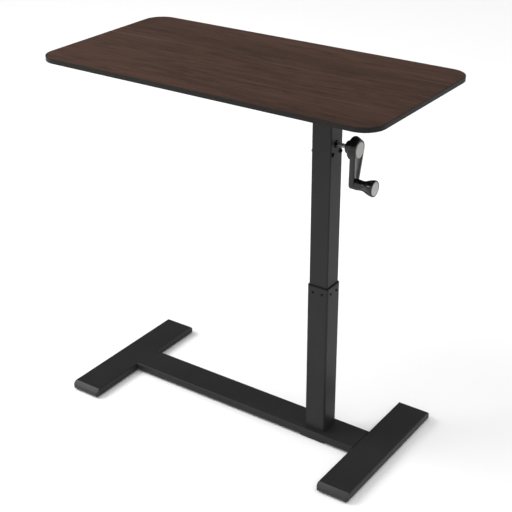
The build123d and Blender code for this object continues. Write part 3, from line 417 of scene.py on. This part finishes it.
def turned_tree():
    """A turned shape, with an optional faceted one, at every point and along each point's axis."""
    sheet, wires = geometry_tree(
        "turned_pieces", ("Round profile", "Object"), ("Faceted profile", "Object"), ("Segments", "Int"),
        ("Facets", "Int"), ("Crease", "Float"), ("Material", "Material"))
    round_part = lathe_nodes(sheet, wires["Round profile"], wires["Segments"], wires["Crease"])
    faceted_part = lathe_nodes(sheet, wires["Faceted profile"], wires["Facets"], wires["Crease"])
    axis = sheet.node("GeometryNodeInputNamedAttribute", {"data_type": "FLOAT_VECTOR"}, {"Name": "axis"})
    aim = sheet.node("FunctionNodeAlignRotationToVector", {"axis": "Z"}, {"Vector": axis})
    placed = sheet.node("GeometryNodeInstanceOnPoints", {},
                        {"Points": wires["Geometry"], "Instance": joined(sheet, round_part, faceted_part),
                         "Rotation": aim})
    return end_geometry(sheet, placed, wires["Material"])


def band_tree():
    """A strip with the given section, run round a rectangle with rounded corners."""
    sheet, wires = geometry_tree(
        "edge_band", ("Length", "Float"), ("Width", "Float"), ("Corner", "Float"), ("Height", "Float"),
        ("Section", "Object"), ("Material", "Material"))
    outline = sheet.node("GeometryNodeCurvePrimitiveQuadrilateral", {"mode": "RECTANGLE"},
                         {"Width": wires["Length"], "Height": wires["Width"]})
    rounded = sheet.node("GeometryNodeFilletCurve", {"mode": "POLY"},
                         {"Curve": outline, "Count": CORNER_POINTS, "Radius": wires["Corner"]})
    level = sheet.node("GeometryNodeSetCurveNormal", {"mode": "Z_UP"}, {"Curve": rounded})
    swept = sheet.node("GeometryNodeCurveToMesh", {},
                       {"Curve": level, "Profile Curve": section_curve(sheet, wires["Section"])})
    lift = sheet.node("ShaderNodeCombineXYZ", {}, {"Z": wires["Height"]})
    raised = sheet.node("GeometryNodeTransform", {}, {"Geometry": swept, "Translation": lift})
    return end_geometry(sheet, shaded(sheet, raised, BAND_CREASE), wires["Material"])


def thread_tree():
    """A screw: a turned core and two left-hand ridges wound round it."""
    sheet, wires = geometry_tree(
        "lifting_thread", ("Core profile", "Object"), ("Ridge", "Object"), ("Start", "Float"),
        ("Length", "Float"), ("Lead", "Float"), ("Root radius", "Float"), ("Material", "Material"))
    core = lathe_nodes(sheet, wires["Core profile"], SCREW_SEGMENTS, CREASE)
    spiral = sheet.node("GeometryNodeCurveSpiral", {},
                        {"Resolution": SPIRAL_POINTS, "Rotations": wires["Length"] / wires["Lead"],
                         "Start Radius": wires["Root radius"], "End Radius": wires["Root radius"],
                         "Height": wires["Length"], "Reverse": True})
    upright = sheet.node("GeometryNodeSetCurveNormal", {"mode": "Z_UP"}, {"Curve": spiral})
    ridge = sheet.node("GeometryNodeCurveToMesh", {},
                       {"Curve": upright, "Profile Curve": section_curve(sheet, wires["Ridge"]),
                        "Fill Caps": True})
    lift = sheet.node("ShaderNodeCombineXYZ", {}, {"Z": wires["Start"]})
    first = sheet.node("GeometryNodeTransform", {}, {"Geometry": ridge, "Translation": lift})
    second = sheet.node("GeometryNodeTransform", {}, {"Geometry": first, "Rotation": (0.0, 0.0, math.pi)})
    points = sheet.node("GeometryNodeInstanceOnPoints", {},
                        {"Points": wires["Geometry"], "Instance": joined(sheet, core, first, second)})
    return end_geometry(sheet, points, wires["Material"])


# ---- shapes
def add_object(name, mesh):
    """Puts a mesh into the scene as a piece."""
    piece = bpy.data.objects.new(name, mesh)
    bpy.context.scene.collection.objects.link(piece)
    return piece


def polyline(name, points, closed=False):
    """An object that holds a line through points, or one point alone."""
    mesh = bpy.data.meshes.new(name)
    links = [(i, i + 1) for i in range(len(points) - 1)]
    if closed:
        links.append((len(points) - 1, 0))
    mesh.from_pydata(points, links, [])
    return add_object(name, mesh)


def settled(piece):
    """Turns the live modifiers of a piece into plain mesh."""
    graph = bpy.context.evaluated_depsgraph_get()
    mesh = bpy.data.meshes.new_from_object(piece.evaluated_get(graph), preserve_all_data_layers=True,
                                           depsgraph=graph)
    piece.modifiers.clear()
    piece.data = mesh
    return piece


def run_tree(piece, tree, values):
    """Runs a geometry tree on a piece with values for its named inputs, and keeps the result."""
    modifier = piece.modifiers.new(tree.name, "NODES")
    modifier.node_group = tree
    sockets = {item.name: item.identifier for item in tree.interface.items_tree if item.in_out == "INPUT"}
    for label, value in values.items():
        modifier[sockets[label]] = value
    return settled(piece)


def finish_piece(piece, body, slot, *nodes):
    """Every new piece gets its body, and its slot's material if it has none yet; the CAD nodes that it stands for
    are hidden.
    """
    if not piece.data.polygons:
        raise RuntimeError(f"{piece.name} came out empty")
    if not piece.data.materials:
        piece.data.materials.append(finish_of(slot))
    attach(piece, body)
    if nodes:
        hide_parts(*nodes)
    return piece


def outward(piece):
    """Makes the faces of a closed piece point outwards."""
    work = bmesh.new()
    work.from_mesh(piece.data)
    bmesh.ops.recalc_face_normals(work, faces=work.faces)
    work.to_mesh(piece.data)
    work.free()
    return piece


TREES = {}


def tree_for(maker):
    """Each tree is built once."""
    if maker not in TREES:
        TREES[maker] = maker()
    return TREES[maker]


def in_metres(points):
    """An outline given in millimetres."""
    return [(radius * MM, height * MM) for radius, height in points]


def turned(name, places, profile, body, slot, nodes, segments, facets=()):
    """Turned pieces at each place, a (point, axis) pair; the profile's heights run along the axis."""
    mesh = bpy.data.meshes.new(name)
    mesh.from_pydata([place for place, axis in places], [], [])
    piece = add_object(name, mesh)
    attribute = mesh.attributes.new("axis", "FLOAT_VECTOR", "POINT")
    for entry, (place, axis) in zip(attribute.data, places):
        entry.vector = axis
    helpers = [polyline("round_outline", [(radius, 0.0, height) for radius, height in profile])]
    values = {"Round profile": helpers[0], "Segments": segments, "Facets": HEXAGON, "Crease": CREASE,
              "Material": finish_of(slot)}
    if facets:
        helpers.append(polyline("faceted_outline", [(radius, 0.0, height) for radius, height in facets]))
        values["Faceted profile"] = helpers[1]
    run_tree(piece, tree_for(turned_tree), values)
    for helper in helpers:
        bpy.data.objects.remove(helper)
    return finish_piece(outward(piece), body, slot, *nodes)


def rounded(points, size, steps=4):
    """Rounds the inner corners of a profile; the first and last points stay."""
    result = [points[0]]
    for before, corner, after in zip(points, points[1:], points[2:]):
        here = Vector(corner)
        back = Vector(before) - here
        ahead = Vector(after) - here
        cut = min(size, back.length * 0.45, ahead.length * 0.45)
        start = here + back.normalized() * cut
        end = here + ahead.normalized() * cut
        for step in range(steps + 1):
            t = step / steps
            result.append(tuple(start * (1 - t) ** 2 + here * 2 * t * (1 - t) + end * t ** 2))
    return result + [points[-1]]


def solids_of(node):
    """The (low, high) corners of every separate solid in a CAD node."""
    work = bmesh.new()
    work.from_mesh(frame["nodes"][node].data)
    bmesh.ops.remove_doubles(work, verts=work.verts, dist=WELD / 2)
    waiting = set(work.verts)
    boxes = []
    while waiting:
        stack = [waiting.pop()]
        found = list(stack)
        while stack:
            for edge in stack.pop().link_edges:
                for vertex in edge.verts:
                    if vertex in waiting:
                        waiting.discard(vertex)
                        stack.append(vertex)
                        found.append(vertex)
        low = Vector([min(vertex.co[i] for vertex in found) for i in range(3)])
        high = Vector([max(vertex.co[i] for vertex in found) for i in range(3)])
        boxes.append((low, high))
    work.free()
    return sorted(boxes, key=lambda pair: tuple(pair[0]))


def softened(name, nodes, width, body, slot, segments=3):
    """A copy of CAD nodes with their sharp edges rounded a little."""
    work = bmesh.new()
    for node in nodes:
        work.from_mesh(frame["nodes"][node].data)
    bmesh.ops.remove_doubles(work, verts=work.verts, dist=WELD)
    bmesh.ops.dissolve_limit(work, angle_limit=FLAT, verts=work.verts, edges=work.edges)
    mesh = bpy.data.meshes.new(name)
    work.to_mesh(mesh)
    work.free()
    mesh.shade_smooth()
    piece = add_object(name, mesh)
    bevel = piece.modifiers.new("soft edges", "BEVEL")
    bevel.width = width
    bevel.segments = segments
    bevel.limit_method = "ANGLE"
    bevel.angle_limit = BEVEL_FROM
    bevel.harden_normals = True
    return finish_piece(settled(piece), body, slot, *nodes)


def stacked(name, rings, body, slot, nodes, extra=None):
    """A closed shell through rings of points that follow one another, with a middle point at both ends."""
    work = bmesh.new()
    loops = [[work.verts.new(point) for point in ring] for ring in rings]
    count = len(rings[0])
    for lower, upper in zip(loops, loops[1:]):
        for i in range(count):
            j = (i + 1) % count
            work.faces.new((lower[i], lower[j], upper[j], upper[i]))
    for loop in (loops[0], loops[-1]):
        middle = work.verts.new(sum((vertex.co for vertex in loop), Vector()) / count)
        for i in range(count):
            work.faces.new((loop[i], loop[(i + 1) % count], middle))
    if extra:
        extra(work)
    bmesh.ops.recalc_face_normals(work, faces=work.faces)
    mesh = bpy.data.meshes.new(name)
    work.to_mesh(mesh)
    work.free()
    mesh.set_sharp_from_angle(angle=SHELL_CREASE)
    for polygon in mesh.polygons:
        polygon.use_smooth = True
    return finish_piece(add_object(name, mesh), body, slot, *nodes)


# ---- operators
class PieceOperator:
    """What the table's operators share."""

    bl_options = {"REGISTER", "UNDO"}

    def execute(self, context):
        self.build(settings())
        return {"FINISHED"}


class TABLE_OT_tabletop(PieceOperator, bpy.types.Operator):
    """Board, walnut face and the black band round the edge"""

    bl_idname = "table.tabletop"
    bl_label = "Tabletop"

    ROUND_STEPS = 5
    GROOVE = 0.12 * MM  # fine groove between the band and the walnut face

    def build(self, own):
        low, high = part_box("edge_band")
        size = high - low
        face_low, face_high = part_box("top_laminate")
        thick = (size.x - (face_high.x - face_low.x)) / 2
        half = size.z / 2
        front = [(-thick / 2, -half), (0.0, -half), (0.0, half), (-thick / 2, half)]
        outline = rounded(front, own.band_round, self.ROUND_STEPS)
        outline += [(self.GROOVE - thick, half), (-thick, half - self.GROOVE), (-thick, -half)]
        helper = polyline("band_section", [(across, up, 0.0) for across, up in outline], closed=True)
        piece = polyline("edge_band_strip", [(0.0, 0.0, 0.0)])
        run_tree(piece, tree_for(band_tree), {
            "Length": size.x, "Width": size.y, "Corner": own.corner_radius, "Height": (low.z + high.z) / 2,
            "Section": helper, "Material": finish_of("edge_plastic")})
        bpy.data.objects.remove(helper)
        finish_piece(outward(piece), "column", "edge_plastic", "edge_band")
        dress("top_board", "top_laminate")


class TABLE_OT_top_frame(PieceOperator, bpy.types.Operator):
    """Steel rail, braces and head plate that carry the top"""

    bl_idname = "table.top_frame"
    bl_label = "Frame under the top"

    def build(self, own):
        for node in ("top_rail", "cross_brace_left", "cross_brace_right", "head_plate"):
            softened(node + "_steel", [node], own.steel_edge, "column", "painted_steel")


class TABLE_OT_column(PieceOperator, bpy.types.Operator):
    """The two tubes of the telescopic column, with their guides"""

    bl_idname = "table.column"
    bl_label = "Column"

    def build(self, own):
        dress("upper_tube", "lower_tube")
        dress("tube_shoe", "guide_collar", finish="collar")


class TABLE_OT_base(PieceOperator, bpy.types.Operator):
    """Feet, beam, end caps, glides and what joins them"""

    bl_idname = "table.base"
    bl_label = "Base"

    def build(self, own):
        dress("foot_left", "foot_right", "base_beam", "joint_tongue_left", "joint_tongue_right",
              "beam_spacers", "column_block")
        softened("column_plate_steel", ["column_plate"], own.steel_edge, "base", "painted_steel")
        for side in ("left", "right"):
            for end in ("front", "rear"):
                node = f"foot_cap_{side}_{end}"
                softened(node + "_moulding", [node], own.cap_edge, "base", "black_plastic", segments=4)
        softened("foot_glide_pads", ["foot_glides"], 0.6 * MM, "base", "black_rubber")


class TABLE_OT_fasteners(PieceOperator, bpy.types.Operator):
    """Rivets, screws and bolts"""

    bl_idname = "table.fasteners"
    bl_label = "Fasteners"

    @staticmethod
    def sideways(node):
        """Head ends of horizontal fasteners that point away from the column."""
        places = []
        for low, high in solids_of(node):
            head = (low + high) / 2
            size = high - low
            along = 0 if size.x > size.y else 1
            outer = head[along] > COLUMN[along]
            axis = Vector((0.0, 0.0, 0.0))
            axis[along] = 1.0 if outer else -1.0
            head[along] = (high if outer else low)[along]
            places.append((head, axis))
        return places

    @staticmethod
    def upright(node, top=False):
        """Head ends of vertical fasteners; top says that the head is the upper end."""
        places = []
        for low, high in solids_of(node):
            middle = (low + high) / 2
            middle.z = high.z if top else low.z
            places.append((middle, Vector((0.0, 0.0, 1.0 if top else -1.0))))
        return places

    def build(self, own):
        dome = [(0.0, 0.0), (1.2, -0.06), (2.2, -0.28), (2.8, -0.62), (3.0, -0.9), (1.85, -0.9), (1.85, -2.6),
                (0.0, -2.6)]
        self.group("rivet_heads", self.sideways("guide_rivets"), dome, "base", "black_steel", "guide_rivets")
        socket_head = [(2.75, -1.8), (2.75, -0.25), (2.95, 0.0), (4.2, 0.0), (5.0, -0.8), (5.0, -3.4),
                       (2.4, -3.4), (2.4, -8.0), (0.0, -8.0)]
        recess = [(3.3, -0.35), (2.6, -0.35), (2.45, -0.5), (2.45, -1.9), (3.3, -1.9), (3.3, -0.35)]
        self.group("gearbox_screw_heads", self.sideways("gearbox_screws"), [(0.0, -1.8)] + socket_head,
                   "column", "black_steel", "gearbox_screws", recess)
        washer = [(0.0, -2.9), (5.45, -2.9), (5.5, -3.0), (5.5, -4.0), (2.95, -4.0), (2.95, -16.8),
                  (0.0, -16.8)]
        hexagon = [(0.0, 0.0), (4.3, 0.0), (4.9, -0.5), (4.9, -3.0), (0.0, -3.0)]
        self.group("head_bolt_set", self.upright("head_bolts"), washer, "column", "zinc_steel", "head_bolts",
                   hexagon)
        pan = [(0.0, 0.0), (2.2, -0.1), (3.4, -0.7), (4.0, -1.7), (4.0, -2.4), (1.95, -2.4), (1.95, -11.2),
               (0.0, -11.2)]
        self.group("top_screw_set", self.upright("top_screws"), pan, "column", "zinc_steel", "top_screws")
        for node, radius, shank, short in (("joint_bolts", 5.5, 2.95, 2.8), ("column_bolts", 7.0, 3.95, 0.4)):
            low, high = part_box(node)
            length = (high.z - low.z) / MM - short
            socket = radius * 0.42
            low_head = [(0.0, -1.4), (socket, -1.4), (socket, -0.15), (radius * 0.48, 0.0),
                        (radius * 0.8, 0.0), (radius, -0.9), (radius, -2.2), (shank, -2.2),
                        (shank, -length), (0.0, -length)]
            self.group(node + "_set", self.upright(node), low_head, "base", "zinc_steel", node)
        small = [(0.0, 0.0), (1.6, -0.15), (2.6, -0.9), (2.6, -1.6), (1.45, -1.6), (1.45, -8.4), (0.0, -8.4)]
        self.group("cover_screw_set", self.upright("cover_screws", True), small, "column", "zinc_steel",
                   "cover_screws")

    @staticmethod
    def group(name, places, profile, body, slot, node, facets=()):
        """One node's fasteners; the profiles are in millimetres, and run down from the head."""
        turned(name, places, in_metres(profile), body, slot, [node], FASTENER_SEGMENTS, in_metres(facets))


class TABLE_OT_crank(PieceOperator, bpy.types.Operator):
    """Crank arm with its hub, light cap, shaft and bush"""

    bl_idname = "table.crank"
    bl_label = "Crank"

    PLATE_BACK = 40.5 * MM  # distances out from the column's face
    PLATE_FACE = 52.5 * MM
    HUB_RADIUS = 19.5 * MM
    TIP_RADIUS = 11.0 * MM
    ARC_POINTS = 30
    BACK_TURNS = (90, 60, 30, 0)  # degrees round the arm's two edges
    FACE_TURNS = (0, 22, 45, 67, 90)
    RIM = 3.4 * MM
    DISH = 1.7 * MM
    PANEL_TAPER = 4.2 * MM  # how much narrower the dished panel is at its tip
    PANEL_END = 13.0 * MM  # from the panel's tip to the grip's axis
    PANEL_LEAST = 0.9 * MM
    # the dished panel's wall: inset in mm, and share of the dish's depth
    PANEL_WALL = ((0.0, 0.0), (0.35, 0.12), (0.7, 0.5), (1.0, 0.85), (1.5, 1.0))
    HUB_POINTS = 72
    HUB_PROFILE = (  # radius, and distance out from the column's face, in mm
        (0.0, 22.0), (7.6, 22.0), (8.7, 22.4), (12.4, 24.8), (13.2, 25.9), (13.5, 27.4), (13.5, 31.6),
        (14.3, 32.5), (19.5, 33.9), (22.4, 35.2), (24.1, 37.2), (24.4, 39.6), (23.8, 42.0), (21.7, 46.4),
        (20.1, 49.2), (18.9, 50.6), (16.0, 51.0), (0.0, 50.0))
    CAP_POINTS = 64
    CAP_STRETCH = 1.3 * MM  # the cap is oval by this much, towards the grip
    CAP_PROFILE = ((15.0, 50.6), (15.2, 52.6), (15.0, 53.05), (14.2, 53.3), (12.4, 53.35), (6.0, 53.4))

    def build(self, own):
        reach = math.hypot(GRIP_PIVOT.y - CRANK_PIVOT.y, GRIP_PIVOT.z - CRANK_PIVOT.z)
        down = Vector((0.0, GRIP_PIVOT.y - CRANK_PIVOT.y, GRIP_PIVOT.z - CRANK_PIVOT.z)) / reach
        side = down.cross(Vector((1.0, 0.0, 0.0)))

        def point(along, across, out):
            """A point measured from the crank's axis, and out from the column's face."""
            place = CRANK_PIVOT + down * along + side * across
            place.x = COLUMN_FACE + out
            return place

        def outline(big, small, far, out):
            """Two arcs joined by straight sides."""
            slope = math.asin((big - small) / far)
            arcs = ((big, 0.0, math.pi / 2 - slope, 3 * math.pi / 2 + slope),
                    (small, far, 3 * math.pi / 2 + slope, 5 * math.pi / 2 - slope))
            ring = []
            for radius, centre, first, last in arcs:
                for i in range(self.ARC_POINTS):
                    angle = first + (last - first) * i / (self.ARC_POINTS - 1)
                    ring.append(point(centre + radius * math.cos(angle), radius * math.sin(angle), out))
            return ring

        def edge_ring(turn, level, inward):
            """One ring of the rounding between the arm's side, at 0 degrees, and a face, at 90."""
            lean = math.radians(turn)
            inset = own.arm_edge * (1 - math.cos(lean))
            out = level + inward * own.arm_edge * (1 - math.sin(lean))
            return outline(self.HUB_RADIUS - inset, self.TIP_RADIUS - inset, reach, out)

        def hub(work):
            """The stepped hub behind the arm."""
            loops = []
            for radius, out in self.HUB_PROFILE:
                ring = []
                for i in range(self.HUB_POINTS if radius else 1):
                    angle = 2 * math.pi * i / self.HUB_POINTS
                    ring.append(work.verts.new((COLUMN_FACE + out * MM,
                                                CRANK_PIVOT.y + radius * MM * math.cos(angle),
                                                CRANK_PIVOT.z + radius * MM * math.sin(angle))))
                loops.append(ring)
            for lower, upper in zip(loops, loops[1:]):
                for i in range(self.HUB_POINTS):
                    j = (i + 1) % self.HUB_POINTS
                    corners = [lower[i % len(lower)], lower[j % len(lower)],
                               upper[j % len(upper)], upper[i % len(upper)]]
                    work.faces.new(list(dict.fromkeys(corners)))

        def cap_ring(width, out):
            """One oval ring of the cap."""
            ring = []
            for i in range(self.CAP_POINTS):
                angle = 2 * math.pi * i / self.CAP_POINTS
                along = self.CAP_STRETCH + (width + self.CAP_STRETCH) * math.cos(angle)
                ring.append(point(along, width * math.sin(angle), out))
            return ring

        rings = [edge_ring(turn, self.PLATE_BACK, 1) for turn in self.BACK_TURNS]
        rings += [edge_ring(turn, self.PLATE_FACE, -1) for turn in self.FACE_TURNS]
        panel = self.HUB_RADIUS - self.RIM
        tip = self.TIP_RADIUS - self.RIM - self.PANEL_TAPER
        for inset, depth in self.PANEL_WALL:
            rings.append(outline(panel - inset * MM, max(tip - inset * MM, self.PANEL_LEAST),
                                 reach - self.PANEL_END, self.PLATE_FACE - self.DISH * depth))
        stacked("crank_arm_moulding", rings, "crank", "gloss_black", ["crank_arm"], hub)
        cap = [cap_ring(width, out) for width, out in in_metres(self.CAP_PROFILE)]
        stacked("hub_cap_disc", cap, "crank", "grey_cap", ["hub_cap"])
        dress("crank_shaft", "shaft_bush")


class TABLE_OT_grip(PieceOperator, bpy.types.Operator):
    """Flared grip that turns on the crank, with its cap and spindle"""

    bl_idname = "table.grip"
    bl_label = "Grip"

    SEGMENTS = 72
    STATIONS = 24
    WAIST = 11.7 * MM
    PINCH = 1.3 * MM  # how much thinner the grip gets before it flares
    PINCH_END = 0.78  # shares of the grip's length
    FLARE_START = 0.36
    RIM_LENGTH = 2.2 * MM
    BORE = 4.1 * MM
    COUNTERBORE = 6.9 * MM
    COUNTERBORE_DEPTH = 8.0 * MM
    CAP_SEAT = 14.3 * MM
    CAP_DEPTH = 3.0 * MM
    CAP_PROFILE = ((0.0, -0.05), (9.0, -0.08), (12.4, -0.15), (13.6, -0.4), (14.15, -0.95), (14.2, -1.4),
                   (14.2, -3.25), (0.0, -3.25))  # in mm, from the CAD cap's face

    def build(self, own):
        low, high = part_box("crank_grip")
        length = high.x - low.x
        flare = (high.y - low.y) / 2
        start = Vector((low.x, GRIP_PIVOT.y, GRIP_PIVOT.z))
        along = Vector((1.0, 0.0, 0.0))
        side = []
        for i in range(self.STATIONS + 1):
            share = i / self.STATIONS
            pinch = math.sin(math.pi * min(share / self.PINCH_END, 1.0)) ** 1.2
            waist = self.WAIST - self.PINCH * pinch
            swell = max(0.0, (share - self.FLARE_START) / (1 - self.FLARE_START))
            swell = swell * swell * (3 - 2 * swell)
            side.append((waist + (flare - waist) * swell, share * (length - self.RIM_LENGTH)))
        end = side[0][0]
        profile = [(self.BORE, 0.4 * MM), (self.BORE + 0.3 * MM, 0.0), (end - 0.8 * MM, 0.0),
                   (end - 0.2 * MM, 0.25 * MM)] + side[1:]
        profile += [(flare, length - 1.5 * MM), (flare - 0.5 * MM, length - 0.5 * MM),
                    (flare - 1.4 * MM, length), (self.CAP_SEAT + 0.2 * MM, length),
                    (self.CAP_SEAT, length - 0.2 * MM), (self.CAP_SEAT, length - self.CAP_DEPTH),
                    (self.COUNTERBORE, length - self.CAP_DEPTH),
                    (self.COUNTERBORE, length - self.COUNTERBORE_DEPTH),
                    (self.BORE, length - self.COUNTERBORE_DEPTH), (self.BORE, 0.4 * MM)]
        turned("grip_moulding", [(start, along)], profile, "grip", "gloss_black", ["crank_grip"],
               self.SEGMENTS)
        face = Vector((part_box("grip_cap")[1].x, GRIP_PIVOT.y, GRIP_PIVOT.z))
        turned("grip_cap_disc", [(face, along)], in_metres(self.CAP_PROFILE), "grip", "grey_cap",
               ["grip_cap"], self.SEGMENTS)
        dress("grip_spindle")


class TABLE_OT_lifting_screw(PieceOperator, bpy.types.Operator):
    """Lifting screw, nut, post and gearbox inside the column"""

    bl_idname = "table.lifting_screw"
    bl_label = "Lifting screw"

    ROOT_RADIUS = 6.6 * MM
    JOURNAL_RADIUS = 5.0 * MM
    CHAMFER = 0.6 * MM
    TIP_CHAMFER = 0.4 * MM
    BEARING_GAP = 0.1 * MM
    THREAD_START = 2.0 * MM  # the thread starts this far above the screw's lower end
    PLAIN_TURNS = 2  # turns' length left plain below the bearing
    RIDGE_SINK = 0.4 * MM  # the ridge's foot lies inside the core
    RIDGE_FOOT = 0.9 * MM  # half widths of the ridge
    RIDGE_CREST = 0.45 * MM

    def build(self, own):
        low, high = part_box("lift_screw")
        root = self.ROOT_RADIUS
        crest = (high.x - low.x) / 2
        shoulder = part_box("thrust_bearing")[0].z - self.BEARING_GAP
        plain = shoulder - self.PLAIN_TURNS * own.thread_lead
        threaded = shoulder - low.z - (self.PLAIN_TURNS + 1) * own.thread_lead
        core = [(0.0, low.z), (root - self.CHAMFER, low.z), (root, low.z + self.CHAMFER), (root, plain),
                (crest, plain + self.CHAMFER), (crest, shoulder), (self.JOURNAL_RADIUS, shoulder),
                (self.JOURNAL_RADIUS, high.z - self.TIP_CHAMFER),
                (self.JOURNAL_RADIUS - self.TIP_CHAMFER, high.z), (0.0, high.z)]
        core_helper = polyline("core_outline", [(radius, 0.0, height) for radius, height in core])
        tall = crest - root
        ridge = [(-self.RIDGE_SINK, -self.RIDGE_FOOT), (tall, -self.RIDGE_CREST), (tall, self.RIDGE_CREST),
                 (-self.RIDGE_SINK, self.RIDGE_FOOT)]
        ridge_helper = polyline("ridge_outline", [(x, y, 0.0) for x, y in ridge], closed=True)
        piece = polyline("lift_screw_thread", [tuple(COLUMN)])
        run_tree(piece, tree_for(thread_tree), {
            "Core profile": core_helper, "Ridge": ridge_helper, "Start": low.z + self.THREAD_START,
            "Length": threaded, "Lead": own.thread_lead, "Root radius": root,
            "Material": finish_of("zinc_steel")})
        for helper in (core_helper, ridge_helper):
            bpy.data.objects.remove(helper)
        finish_piece(outward(piece), "screw", "zinc_steel", "lift_screw")
        dress("screw_gear", "crank_gear", "lift_nut", "nut_post", "gear_housing", "gear_cover",
              "thrust_bearing")


class TABLE_OT_studio(PieceOperator, bpy.types.Operator):
    """Pale floor, soft lights and the camera"""

    bl_idname = "table.studio"
    bl_label = "Studio"

    FLOOR_HALF = 20.0
    KEY_PLACE = (-2.5, -1.3, 2.7)
    KEY_AIM = (0.0, 0.0, 0.3)
    KEY_SIZE = 2.2
    CAMERA = Vector((1.2700, -1.8007, 1.5007))
    YAW = math.radians(34.898)
    PITCH = math.radians(26.686)
    ROLL = math.radians(-0.298)
    SENSOR = 36.0
    LENS = 1122.75 / 512 * SENSOR
    VIEW_END = 60.0

    def build(self, own):
        mesh = bpy.data.meshes.new("studio_floor")
        half = self.FLOOR_HALF
        mesh.from_pydata([(-half, -half, 0), (half, -half, 0), (half, half, 0), (-half, half, 0)], [],
                         [(0, 1, 2, 3)])
        floor = add_object("studio_floor", mesh)
        paint = Finish("studio_floor_paint")
        grain = paint.noise(paint.place, scale=3.0, detail=2.0)
        shade = paint.mix(own.floor_colour, tuple(0.985 * value for value in own.floor_colour), grain)
        mesh.materials.append(paint.finish(shade, 0.75 + grain * 0.1, Specular_IOR_Level=0.2))
        self.sky(own)
        self.lamp(own)
        self.camera()

    def sky(self, own):
        """A room with a wide bright ceiling, darker walls behind and a pale wall behind the camera."""
        world = bpy.data.worlds.new("studio_world")
        bpy.context.scene.world = world
        world.use_nodes = True
        sheet = Sheet(world.node_tree)
        world.node_tree.nodes.clear()
        direction = sheet.node("ShaderNodeTexCoord", output="Generated")
        across = sheet.node("ShaderNodeSeparateXYZ", {}, {"Vector": direction})
        depth = sheet.outputs(across, "Y")
        height = sheet.outputs(across, "Z")
        away = depth * math.cos(self.YAW) - across * math.sin(self.YAW)
        sideways = across * math.cos(self.YAW) + depth * math.sin(self.YAW)
        ceiling = height.above(0.45, 0.95) * own.ceiling
        near_wall = (0.0 - away).above(0.05, 0.75) * own.near_wall
        left_wall = (0.0 - sideways).above(0.25, 0.95) * own.left_wall
        right_wall = sideways.above(0.25, 0.95) * own.right_wall
        skirting = (1.0 - height.above(0.03, 0.13)) * own.horizon
        light = ceiling + near_wall + left_wall + right_wall + skirting + own.far_wall
        background = sheet.node("ShaderNodeBackground", {}, {"Color": (1.0, 1.0, 1.0), "Strength": light})
        sheet.node("ShaderNodeOutputWorld", {}, {"Surface": background})

    def lamp(self, own):
        """A large round lamp at the left, above the table."""
        light = bpy.data.lights.new("key", "AREA")
        light.shape = "DISK"
        light.size = self.KEY_SIZE
        light.energy = own.key_power
        lamp = bpy.data.objects.new("key", light)
        lamp.location = self.KEY_PLACE
        aim = Vector(self.KEY_AIM) - Vector(self.KEY_PLACE)
        lamp.rotation_euler = aim.to_track_quat("-Z", "Y").to_euler()
        bpy.context.scene.collection.objects.link(lamp)

    def camera(self):
        """The camera, from its place, its three angles and its lens."""
        data = bpy.data.cameras.new("camera")
        data.lens = self.LENS
        data.sensor_width = self.SENSOR
        data.clip_end = self.VIEW_END
        camera = bpy.data.objects.new("camera", data)
        ahead = Vector((-math.sin(self.YAW) * math.cos(self.PITCH), math.cos(self.YAW) * math.cos(self.PITCH),
                        -math.sin(self.PITCH)))
        level = Vector((math.cos(self.YAW), math.sin(self.YAW), 0.0))
        above = level.cross(ahead)
        right = level * math.cos(self.ROLL) + above * math.sin(self.ROLL)
        top = above * math.cos(self.ROLL) - level * math.sin(self.ROLL)
        turn = Matrix((right, top, -ahead)).transposed()
        camera.matrix_world = Matrix.Translation(self.CAMERA) @ turn.to_4x4()
        bpy.context.scene.collection.objects.link(camera)
        bpy.context.scene.camera = camera
        bpy.context.scene.view_settings.view_transform = "Standard"


class TABLE_PT_panel(bpy.types.Panel):
    """Lists the table's pieces and finishes"""

    bl_label = "Overbed table"
    bl_idname = "TABLE_PT_panel"
    bl_space_type = "VIEW_3D"
    bl_region_type = "UI"
    bl_category = "Table"

    def draw(self, context):
        column = self.layout.column(align=True)
        for operator in STEPS:
            column.operator(operator.bl_idname)
        values = self.layout.column()
        for name in TableSettings.__annotations__:
            values.prop(context.scene.overbed_table, name)


STEPS = (TABLE_OT_tabletop, TABLE_OT_top_frame, TABLE_OT_column, TABLE_OT_base, TABLE_OT_fasteners,
         TABLE_OT_crank, TABLE_OT_grip, TABLE_OT_lifting_screw, TABLE_OT_studio)
CLASSES = (TableSettings,) + STEPS + (TABLE_PT_panel,)


def register():
    for each in CLASSES:
        bpy.utils.register_class(each)
    bpy.types.Scene.overbed_table = bpy.props.PointerProperty(type=TableSettings)


def unregister():
    del bpy.types.Scene.overbed_table
    for each in reversed(CLASSES):
        bpy.utils.unregister_class(each)


def main():
    register()
    for operator in STEPS:
        group, name = operator.bl_idname.split(".")
        getattr(getattr(bpy.ops, group), name)()


if __name__ == "__main__":
    main()
